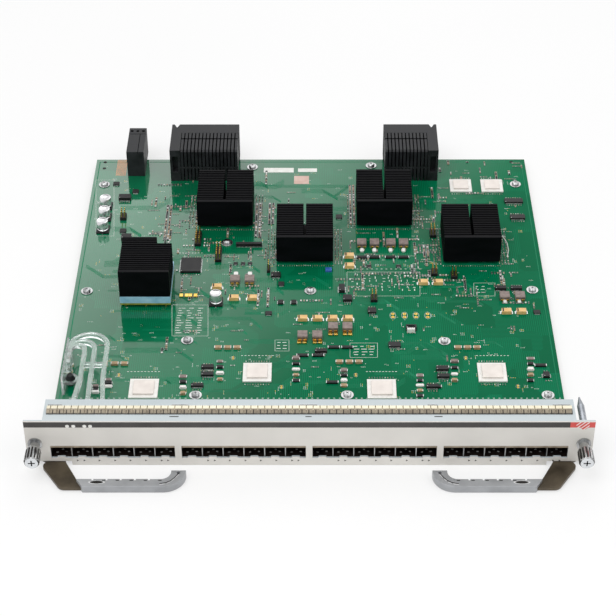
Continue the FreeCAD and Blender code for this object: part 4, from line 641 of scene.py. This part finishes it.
def surface_parts():
    """Packages, bars, blocks and the stacks of parts beside each front chip."""
    bodies = Piece("surface_packages", BLACK, TAN, FERRITE, CERAMIC, BLUE)
    metal = Piece("surface_terminals", SOLDER, GOLD)
    for px, py, width, length, height in SMALL_PACKAGES:
        at = at_pixel(px, py, BOARD + height * MM)
        bodies.block(at.x, at.y, BOARD, width * MM, length * MM, height * MM, 0, 0.15 * MM)
        lead_row(metal, at.x, at.y, width * MM, length * MM, 0.65 * MM, 0.7 * MM)
    for spots, skin, width, length, height in (
            (BLACK_BARS, 0, 8.0, 2.6, 1.6), (WHITE_BARS, 3, 2.4, 4.0, 1.4), (BROWN_BLOCKS, 1, 4.6, 3.0, 2.0)):
        for px, py in spots:
            at = at_pixel(px, py, BOARD + height * MM)
            bodies.block(at.x, at.y, BOARD, width * MM, length * MM, height * MM, skin, 0.2 * MM)
            for side in (-1, 1):
                metal.block(at.x + side * width / 2 * MM, at.y, BOARD, 1.0 * MM, length * 0.9 * MM,
                            height * 0.9 * MM, 0, 0.1 * MM)
    for px, py in GOLD_BLOCKS:
        at = at_pixel(px, py)
        for side in (-1, 1):
            metal.block(at.x + side * 2.0 * MM, at.y, BOARD, 3.0 * MM, 3.4 * MM, 1.2 * MM, 1, 0.2 * MM)
    for px, near, far in CLUSTERS:
        steps = max(2, int((far - near) / 5))
        for step in range(steps + 1):
            at = at_pixel(px, near + (far - near) * step / steps)
            skin = (2, 0, 3, 1, 0)[step % 5]
            width, length = random.uniform(3.6, 5.2) * MM, random.uniform(2.2, 3.2) * MM
            bodies.block(at.x, at.y, BOARD, width, length, random.uniform(1.0, 2.2) * MM, skin, 0.2 * MM)
            for side in (-1, 1):
                metal.block(at.x + side * width / 2, at.y, BOARD, 0.8 * MM, length * 0.8, 0.8 * MM)
    at = at_pixel(328.6, 268.6, BOARD + 2 * MM)
    bodies.block(at.x, at.y, BOARD, 5 * MM, 4 * MM, 2 * MM, 4, 0.3 * MM)
    at = at_pixel(411, 327.5, BOARD + 3 * MM)
    bodies.block(at.x, at.y, BOARD, 6 * MM, 5 * MM, 3.4 * MM, 3, 0.3 * MM)
    for slot in (-1, 0, 1):
        bodies.block(at.x + slot * 1.6 * MM, at.y, BOARD + 3.3 * MM, 0.7 * MM, 2.4 * MM, 0.16 * MM, 0)
    start, end = at_pixel(236, 243, BOARD + 3 * MM), at_pixel(262, 243, BOARD + 3 * MM)
    bodies.block((start.x + end.x) / 2, start.y, BOARD, end.x - start.x, 2.6 * MM, 3.4 * MM, 0, 0.3 * MM)
    metal.block((start.x + end.x) / 2, start.y, BOARD, end.x - start.x - 1 * MM, 3.6 * MM, 0.4 * MM)
    bodies.make()
    metal.make()


JUMPER = ((502.5, 236), (507, 243), (508.5, 250), (507.5, 256))


def jumper_wire():
    """A thin white wire laid over the board, with a solder drop at each end."""
    wire = Piece("jumper_wire", LABEL, SOLDER)
    spots = [at_pixel(*spot, BOARD + 0.5 * MM) for spot in JUMPER]
    for start, end in zip(spots, spots[1:]):
        wire.strip(start, end, 0.5 * MM, 0.5 * MM, level=BOARD + 0.3 * MM)
    for spot in (spots[0], spots[-1]):
        wire.turned(spot.x, spot.y, [(0.9 * MM, BOARD), (0.8 * MM, BOARD + 0.4 * MM), (0.3 * MM, BOARD + 0.8 * MM)])
    wire.make()


def chip_resistors():
    """Tiny two-ended parts in rows and loose groups, kept off the larger parts."""
    bodies = Piece("tiny_parts", TAN, BLACK, CERAMIC)
    ends = Piece("tiny_part_ends", TINNED)
    taken = []
    for name in ("heatsink_1", "heatsink_2", "heatsink_3", "heatsink_4", "power_module_board",
                 "left_signal_housing", "right_signal_housing", "power_connector_housing", "light_pipes"):
        corner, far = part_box(name)
        taken.append((corner.x, corner.y, far.x, far.y))
    for name in ("small_chips", "power_inductors", "tantalum_capacitors", "capacitor_bases", "chip_substrates",
                 "pin_headers", "board_screws"):
        for middle, size, _ in islands(name):
            half_x, half_y = size.x / 2 + 1.2 * MM, size.y / 2 + 1.2 * MM
            taken.append((middle.x - half_x, middle.y - half_y, middle.x + half_x, middle.y + half_y))

    low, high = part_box("circuit_board")
    rim = 3 * MM

    def free(x, y):
        if not (low.x + rim < x < high.x - rim and 0.06 < y < high.y - rim):
            return False
        return not any(x0 < x < x1 and y0 < y < y1 for x0, y0, x1, y1 in taken)

    def put(x, y, lying, size):
        if not free(x, y):
            return
        length, width, height = size
        turn = 0 if lying else math.pi / 2
        bodies.block(x, y, BOARD, length * 0.62, width, height, random.choice((0, 0, 1, 1, 2)), turn=turn)
        for side in (-1, 1):
            shift = side * length * 0.4
            ends.block(x + (shift if lying else 0), y + (0 if lying else shift), BOARD, length * 0.24, width * 1.02,
                       height * 1.04, turn=turn)

    small, medium = (1.1 * MM, 0.6 * MM, 0.45 * MM), (1.9 * MM, 1.1 * MM, 0.7 * MM)
    starts = [(random.uniform(low.x + 0.01, high.x - 0.01), random.uniform(0.075, high.y - 0.03))
              for _ in range(50)]
    for x0, y0, x1, y1, groups in CROWDED:
        for _ in range(groups):
            spot = at_pixel(random.uniform(x0, x1), random.uniform(y0, y1))
            starts.append((spot.x, spot.y))
    for x, y in starts:
        lying, count = random.random() < 0.5, random.randint(3, 9)
        size = random.choice((small, small, medium))
        pitch = size[1] * 2.1 if lying else size[0] * 1.5
        for i in range(count):
            put(x + (0 if lying else i * size[1] * 2.1), y + (i * pitch if lying else 0), lying, size)
    for name in ("chip_substrates", "small_chips", "power_inductors"):
        for middle, size, _ in islands(name):
            for side in (-1, 1):
                count = max(2, int(size.x / (1.9 * MM)))
                for i in range(count):
                    put(middle.x + (i - (count - 1) / 2) * 1.9 * MM, middle.y + side * (size.y / 2 + 2.6 * MM),
                        False, small)
    for name in ("heatsink_1", "heatsink_2", "heatsink_3", "heatsink_4"):
        corner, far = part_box(name)
        for row in range(22):
            for reach in (2.0, 4.4, 6.8):
                along = corner.y + (far.y - corner.y) * row / 21
                put(corner.x - reach * MM, along, True, small)
                put(far.x + reach * MM, along, True, small)
        for column in range(26):
            put(corner.x + (far.x - corner.x) * column / 25, corner.y - 2.4 * MM, False, small)
    for px, near, far in STRIPED_ROWS:
        start, end = at_pixel(px, far), at_pixel(px, near)
        count = int(abs(end.y - start.y) / (1.7 * MM))
        for i in range(count + 1):
            y = start.y + (end.y - start.y) * i / max(count, 1)
            put(start.x - 1.4 * MM, y, True, medium)
            put(start.x + 1.4 * MM, y, True, medium)
    bodies.make()
    ends.make()


SILK_BOXES = (
    (172, 305, 208, 336), (275, 340, 289, 351), (347, 272, 420, 296), (350, 343, 377.5, 357.5),
    (473.8, 283, 495, 296), (96, 180, 114, 236),
)
SILK_ROWS = (
    (128, 159, 371.6, 10), (242, 273, 355.6, 10), (367, 396, 371.6, 10), (477, 508, 355.6, 10),
    (70, 560, 398.2, 90), (180, 202, 253, 8), (348, 420, 269, 16),
)
# Fields of short strokes: two corners, rows and columns
TABLES = (
    (174, 307, 206, 334, 11, 3), (350, 274, 418, 292, 6, 11), (352, 345, 376, 356, 4, 3),
    (276, 341, 288, 350, 3, 2), (475, 285, 486, 294, 3, 2),
)
CROWDED_COLUMNS = 5
BOARD_HOLES = ((105.3, 162.3), (104.4, 168.4), (511, 162))
LABELS = ((263.8, 168, 293.8, 172.5, 0), (298, 168.5, 317, 172, 0), (294, 176, 309, 184, 1))
TRACK_PATHS = (
    ((86, 267.5), (103, 278), (120, 278)), ((256, 184), (266, 187.5), (349, 187.5), (334, 198)),
    ((208, 320), (250, 320), (262, 330)), ((410, 300), (450, 300), (462, 292), (500, 292)),
)


def board_print():
    """White marks, outlines, labels, gold pads, tracks and vias on the board."""
    ink = Piece("board_ink", INK)
    for x0, y0, x1, y1 in SILK_BOXES:
        corners = [at_pixel(*spot) for spot in ((x0, y0), (x1, y0), (x1, y1), (x0, y1))]
        for start, end in zip(corners, corners[1:] + corners[:1]):
            ink.strip(start, end, 0.22 * MM, 0.05 * MM)
    for x0, x1, py, count in SILK_ROWS:
        for i in range(count):
            at = at_pixel(x0 + (x1 - x0) * i / (count - 1), py)
            ink.strip((at.x - 0.4 * MM, at.y), (at.x + 0.4 * MM, at.y), 0.5 * MM, 0.05 * MM)
    low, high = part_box("circuit_board")
    for _ in range(260):
        x, y = random.uniform(low.x + 0.008, high.x - 0.008), random.uniform(0.07, high.y - 0.01)
        for mark in range(random.randint(2, 4)):
            height = random.choice((0.7, 1.0)) * MM
            ink.strip((x + mark * 0.9 * MM, y), (x + mark * 0.9 * MM, y + height), 0.22 * MM, 0.05 * MM)
    for x0, y0, x1, y1, rows, columns in TABLES:
        near, far = at_pixel(x0, y1), at_pixel(x1, y0)
        for row in range(rows):
            y = near.y + (far.y - near.y) * (row + 0.5) / rows
            for column in range(columns):
                x = near.x + (far.x - near.x) * (column + random.uniform(0.1, 0.35)) / columns
                run = random.uniform(0.2, 0.6) * (far.x - near.x) / columns
                if columns < CROWDED_COLUMNS:
                    ink.strip((x, y), (x + run, y), 0.6 * MM, 0.05 * MM)
                elif random.random() < 0.7:
                    end = random.choice(((x, y + random.uniform(1.2, 2.4) * MM), (x + run * 0.6, y)))
                    ink.strip((x, y), end, random.uniform(0.3, 0.7) * MM, 0.05 * MM)
    ink.make()

    labels = Piece("board_labels", LABEL, ROSE)
    for x0, y0, x1, y1, skin in LABELS:
        start, end = at_pixel(x0, y1), at_pixel(x1, y0)
        labels.block((start.x + end.x) / 2, (start.y + end.y) / 2, BOARD - 0.01 * MM, end.x - start.x,
                     end.y - start.y, 0.12 * MM, skin)
    labels.make()

    pads = Piece("gold_pads", GOLD, INK, DARK)
    for spots, reach, radius, half_width, half_length in (
            (OVAL_PADS, 1.9, 1.25, 2.2, 4.2), (LONE_PADS, 1.0, 0.7, 1.3, 2.3)):
        for px, py in spots:
            at = at_pixel(px, py)
            oval = [(at.x + half_width * MM * math.cos(math.pi * i / 12),
                     at.y + half_length * MM * math.sin(math.pi * i / 12)) for i in range(24)]
            for start, end in zip(oval, oval[1:] + oval[:1]):
                pads.strip(start, end, 0.35 * MM, 0.05 * MM, 1)
            for side in (-1, 1):
                y = at.y + side * reach * MM
                pads.turned(at.x, y, [(radius * MM, BOARD), (radius * MM, BOARD + 0.08 * MM)], 20)
                # Painted shade: the dark middle of each pad stands for its drilled hole
                pads.turned(at.x, y, [
                    (0.45 * radius * MM, BOARD), (0.45 * radius * MM, BOARD + 0.1 * MM)], 16, 2)
    # Painted shade: dark discs where the board is drilled through
    for px, py in BOARD_HOLES:
        at = at_pixel(px, py)
        pads.turned(at.x, at.y, [(1.5 * MM, BOARD), (1.5 * MM, BOARD + 0.03 * MM)], 24, 2)
    pads.make()

    tracks = Piece("board_tracks", TRACK, COPPER)
    for path in TRACK_PATHS:
        spots = [at_pixel(*spot) for spot in path]
        for lane in range(5):
            shift = lane * 0.9 * MM
            for start, end in zip(spots, spots[1:]):
                tracks.strip((start.x, start.y + shift), (end.x, end.y + shift), 0.32 * MM, 0.04 * MM)
    for _ in range(90):
        x, y = random.uniform(low.x + 0.02, high.x - 0.05), random.uniform(0.06, high.y - 0.04)
        run, slant, lanes = random.uniform(8, 40) * MM, random.uniform(3, 12) * MM, random.randint(3, 10)
        flip = random.choice((-1, 1))
        end_x = min(x + run + slant, high.x - 0.006)
        for lane in range(lanes):
            shift = lane * 0.8 * MM
            bend = min(x + run, end_x) - (shift * 0.4)
            tracks.strip((x, y + shift), (bend, y + shift), 0.26 * MM, 0.03 * MM)
            tracks.strip((bend, y + shift), (end_x, y + shift + flip * (end_x - bend)), 0.26 * MM, 0.03 * MM)
    for x in (low.x + 3 * MM, high.x - 3 * MM):
        tracks.strip((x, 0.03), (x, high.y - 4 * MM), 0.7 * MM, 0.04 * MM)
    tracks.strip((low.x + 3 * MM, high.y - 4 * MM), (high.x - 3 * MM, high.y - 4 * MM), 0.7 * MM, 0.04 * MM)
    hatch_low, hatch_high = at_pixel(116, 175.6), at_pixel(127.5, 160)
    for i in range(9):
        x = hatch_low.x + (hatch_high.x - hatch_low.x) * i / 8
        tracks.strip((x, hatch_low.y), (x, hatch_high.y), 0.35 * MM, 0.05 * MM, 1)
    tracks.make()

    vias = Piece("board_vias", SOLDER, GOLD)
    for _ in range(420):
        x, y = random.uniform(low.x + 0.006, high.x - 0.01), random.uniform(0.06, high.y - 0.02)
        columns, rows = random.choice(((1, 4), (2, 3), (4, 1), (1, 1), (3, 3)))
        for column in range(columns):
            for row in range(rows):
                vias.turned(x + column * 1.2 * MM, y + row * 1.2 * MM, [
                    (0.26 * MM, BOARD), (0.26 * MM, BOARD + 0.04 * MM)], 6, random.choice((0, 0, 1)))
    vias.make()


FLUTES, CORNERS = 14, 4


def knob_knurls():
    """A ribbed sleeve round each captive screw's knob, held in the knob's wall, with painted shade in its flutes.
    """
    for side in ("left", "right"):
        low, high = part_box(f"{side}_captive_screw")
        x, z, radius = (low.x + high.x) / 2, (low.z + high.z) / 2, (high.x - low.x) / 2
        front, rear = low.y + 1.0 * MM, low.y + 11.4 * MM
        knob = Piece(f"{side}_knob_knurl", LOOKS["nickel"], DARK)
        outline = (
            (front, 0.05), (front + 0.4 * MM, 0.42), (rear - 0.4 * MM, 0.42), (rear, 0.05),
            (rear, -0.5), (front, -0.5))
        count = FLUTES * CORNERS
        for y, lift in outline:
            for i in range(count):
                angle = -2 * math.pi * i / count
                reach = radius + (lift if i % CORNERS < 2 or lift < 0 else 0.03) * MM
                knob.points.append((x + reach * math.cos(angle), y, z + reach * math.sin(angle)))
        for level in range(len(outline)):
            near, far = level * count, (level + 1) % len(outline) * count
            for i in range(count):
                after = (i + 1) % count
                knob.faces.append((near + i, near + after, far + after, far + i))
                # Painted shade: the walls and floors of the flutes take the dark material
                knob.skins.append(1 if level < 3 and i % CORNERS in (1, 2) else 0)
        knob.make(f"{side}_screw")


ICONS = ((67, 426.3), (73.2, 426.3), (84.4, 426.3), (90, 426.3))
TICKS = (77.7, 84.4, 99.4, 115.1, 130.4, 145.9, 161.6, 168)
TICK_ROW = 460.4
FLANGE_LINES, FLANGE_ROW = ((48, 62), (172, 188), (300, 317), (428, 437), (553, 570)), 405.0
NOTCHES, NOTCH_ROW = ((170, 178), (306, 311), (435, 442)), 416.6
CAGE_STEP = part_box("port_cage_2")[0].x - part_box("port_cage_1")[0].x


def front_marks():
    """Plain light windows in the dark band, ticks under the ports, and thin lines on the flange."""
    marks = Piece("front_marks", LABEL, DARK, SATIN)
    for px, py in ICONS:
        at = on_front(px, py)
        marks.facing(at.x, FRONT - 0.05 * MM, at.z, 1.3 * MM, 0.2 * MM, 20, 0)
    for px in TICKS:
        at = on_front(px, TICK_ROW)
        for cage in range(4):
            marks.facing(at.x + cage * CAGE_STEP, FRONT - 0.03 * MM, at.z, 0.9 * MM, 0.2 * MM, 3, 1)
    for near, far in FLANGE_LINES:
        start, end = at_pixel(near, FLANGE_ROW, FLANGE), at_pixel(far, FLANGE_ROW, FLANGE)
        for shift, skin in ((0, 1), (0.5, 2)):
            y = start.y + shift * MM
            marks.strip((start.x, y), (end.x, y), 0.35 * MM, 0.16 * MM, skin, FLANGE)
    for near, far in NOTCHES:
        start, end = at_pixel(near, NOTCH_ROW, FLANGE), at_pixel(far, NOTCH_ROW, FLANGE)
        marks.strip((start.x, start.y), (end.x, start.y), 0.8 * MM, 0.05 * MM, 1, FLANGE)
    marks.make()


PORTS_IN_CAGE = 6
FLOOR_SPRINGS = ((-3.2, 4.6), (3.0, 5.2), (0.2, 7.4))


def port_springs():
    """Small bright springs on each port's floor."""
    springs = Piece("port_floor_springs", TINNED)
    for cage in (1, 2, 3, 4):
        low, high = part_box(f"port_cage_{cage}")
        pitch = (high.x - low.x) / PORTS_IN_CAGE
        for port in range(PORTS_IN_CAGE):
            middle = low.x + pitch * (port + 0.5)
            for x, y in FLOOR_SPRINGS:
                springs.block(middle + x * MM, y * MM, low.z + 0.2 * MM, 1.5 * MM, 1.1 * MM, 0.7 * MM, 0, 0.2 * MM,
                              random.uniform(-0.5, 0.5))
    springs.make()


NICKS = (103.7, 117.3, 131.3, 145.4, 159.9)
NICK_ROW, THUMB = 480.3, (96.5, 482.2)
GROOVE = ((160, 483.5), (166, 482.6), (171, 480.5), (175, 477.2), (178.5, 473.5))


def grip_details():
    """Nicks, a thumb recess and a groove on each grip, drawn as painted shade and painted highlights for the left
    one and mirrored.
    """
    for side, sign in (("left", 1), ("right", -1)):
        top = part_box(f"{side}_ejector_grip")[1].z
        piece = Piece(f"{side}_grip_details", DARK, PAINTED_HIGHLIGHT)
        # Painted shade: a dark block stands for each nick
        for px in NICKS:
            at = at_pixel(px, NICK_ROW, top)
            piece.block(sign * at.x, at.y, top - 0.4 * MM, 2.4 * MM, 1.0 * MM, 0.45 * MM, 0, 0.1 * MM)
        at = at_pixel(*THUMB, top)
        # Painted shade inside the thumb recess, with a painted highlight on its rim
        for reach, lift, skin in ((3.4, 0.03, 1), (2.6, 0.06, 0)):
            ring = [2 * math.pi * i / 28 for i in range(28)]
            piece.stack([[(sign * at.x + 1.7 * reach * MM * math.cos(a), at.y + 0.5 * reach * MM * math.sin(a), z)
                          for a in ring] for z in (top - 0.3 * MM, top + lift * MM)], skin)
        spots = [at_pixel(*spot, top) for spot in GROOVE]
        for start, end in zip(spots, spots[1:]):
            # Painted shade along the groove, with a painted highlight beside it
            for shift, width, skin in ((0, 0.7, 0), (1.0, 0.6, 1)):
                ends = [(sign * spot.x, spot.y - shift * MM) for spot in (start, end)]
                piece.strip(*ends, width * MM, 0.06 * MM, skin, top)
        piece.make(f"{side}_ejector")


def module_dots():
    """The two solder joints at the module's front."""
    piece = Piece("module_solder", SOLDER)
    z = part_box("power_module_board")[1].z
    for px, py in ((135, 308.6), (155, 308.6)):
        at = at_pixel(px, py, z)
        piece.turned(at.x, max(at.y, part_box("power_module_board")[0].y + 1.2 * MM), [
            (1.1 * MM, z - 0.8 * MM), (1.1 * MM, z + 0.1 * MM), (0.6 * MM, z + 0.4 * MM)], 16)
    piece.make(smooth=True)


# Light, floor and surroundings
def make_stage():
    look = Look("pale_floor")
    clouds = look.noise(2.0, 2)
    look.paint(look.ramp(clouds, [(0.3, colour(246, 246, 246)), (0.7, colour(250, 250, 250))]))
    look.shader.inputs["Roughness"].default_value = 0.9
    look.shader.inputs["Specular IOR Level"].default_value = 0.1
    glow = look.add("ShaderNodeEmission")
    glow.inputs["Color"].default_value = (1, 1, 1, 1)
    rays = look.add("ShaderNodeLightPath")
    seen = look.math("MAXIMUM", rays.outputs["Is Camera Ray"], rays.outputs["Is Glossy Ray"])
    seen = look.math("MAXIMUM", seen, rays.outputs["Is Transmission Ray"])
    blend = look.add("ShaderNodeMixShader")
    look.link(look.math("MULTIPLY", seen, 0.55), blend.inputs["Fac"])
    look.link(look.shader.outputs[0], blend.inputs[1])
    look.link(glow.outputs[0], blend.inputs[2])
    output = next(node for node in look.tree.nodes if node.type == "OUTPUT_MATERIAL")
    look.link(blend.outputs[0], output.inputs[0])
    mesh = bpy.data.meshes.new("floor")
    z, reach = cad_box[0][2] - 0.4 * MM, 6
    mesh.from_pydata([(-reach, -reach, z), (reach, -reach, z), (reach, reach, z), (-reach, reach, z)], [],
                     [(0, 1, 2, 3)])
    mesh.materials.append(look.material)
    floor = bpy.data.objects.new("floor", mesh)
    bpy.context.collection.objects.link(floor)

    world = bpy.data.worlds.new("studio")
    bpy.context.scene.world = world
    world.use_nodes = True
    nodes, links = world.node_tree.nodes, world.node_tree.links
    nodes.clear()
    paths = nodes.new("ShaderNodeLightPath")
    shown = nodes.new("ShaderNodeMath")
    shown.operation = "MAXIMUM"
    links.new(paths.outputs["Is Camera Ray"], shown.inputs[0])
    links.new(paths.outputs["Is Glossy Ray"], shown.inputs[1])
    level = nodes.new("ShaderNodeMapRange")
    level.inputs["To Min"].default_value, level.inputs["To Max"].default_value = 0.55, 1.0
    links.new(shown.outputs[0], level.inputs["Value"])
    sky = nodes.new("ShaderNodeBackground")
    sky.inputs["Color"].default_value = (1, 1, 1, 1)
    links.new(level.outputs["Result"], sky.inputs["Strength"])
    links.new(sky.outputs[0], nodes.new("ShaderNodeOutputWorld").inputs[0])

    target = Vector((0, 0.19, 0.02))
    for name, place, power, size in (
            ("key_light", (-0.5, -0.5, 1.5), 11, 1.1), ("fill_light", (1.0, -0.4, 1.2), 5, 1.2),
            ("rear_light", (0.1, 1.3, 1.1), 5, 1.2)):
        data = bpy.data.lights.new(name, "AREA")
        data.energy, data.size = power, size
        lamp = bpy.data.objects.new(name, data)
        lamp.location = place
        lamp.rotation_mode = "QUATERNION"
        lamp.rotation_quaternion = (target - Vector(place)).to_track_quat("-Z", "Y")
        bpy.context.collection.objects.link(lamp)
    bpy.context.scene.view_settings.view_transform = "Standard"


make_camera()
make_stage()
dress_nodes()
soften(["left_ejector_grip", "right_ejector_grip"], 0.7, 3)
soften(["left_ejector_arm", "right_ejector_arm"], 0.25)
soften(["left_signal_housing", "right_signal_housing", "power_connector_housing", "left_signal_wafers",
        "right_signal_wafers", "power_inductors", "tantalum_capacitors", "chip_lids", "capacitor_bases",
        "light_pipes", "power_module_baseplate", "small_chips"], 0.2)
soften(["heatsink_1", "heatsink_2", "heatsink_3", "heatsink_4", "power_module_heatsink", "chip_substrates",
        "power_module_board", "pin_headers"], 0.1, 1)
board_fasteners()
can_shells()
component_details()
surface_parts()
jumper_wire()
chip_resistors()
board_print()
knob_knurls()
front_marks()
port_springs()
grip_details()
module_dots()
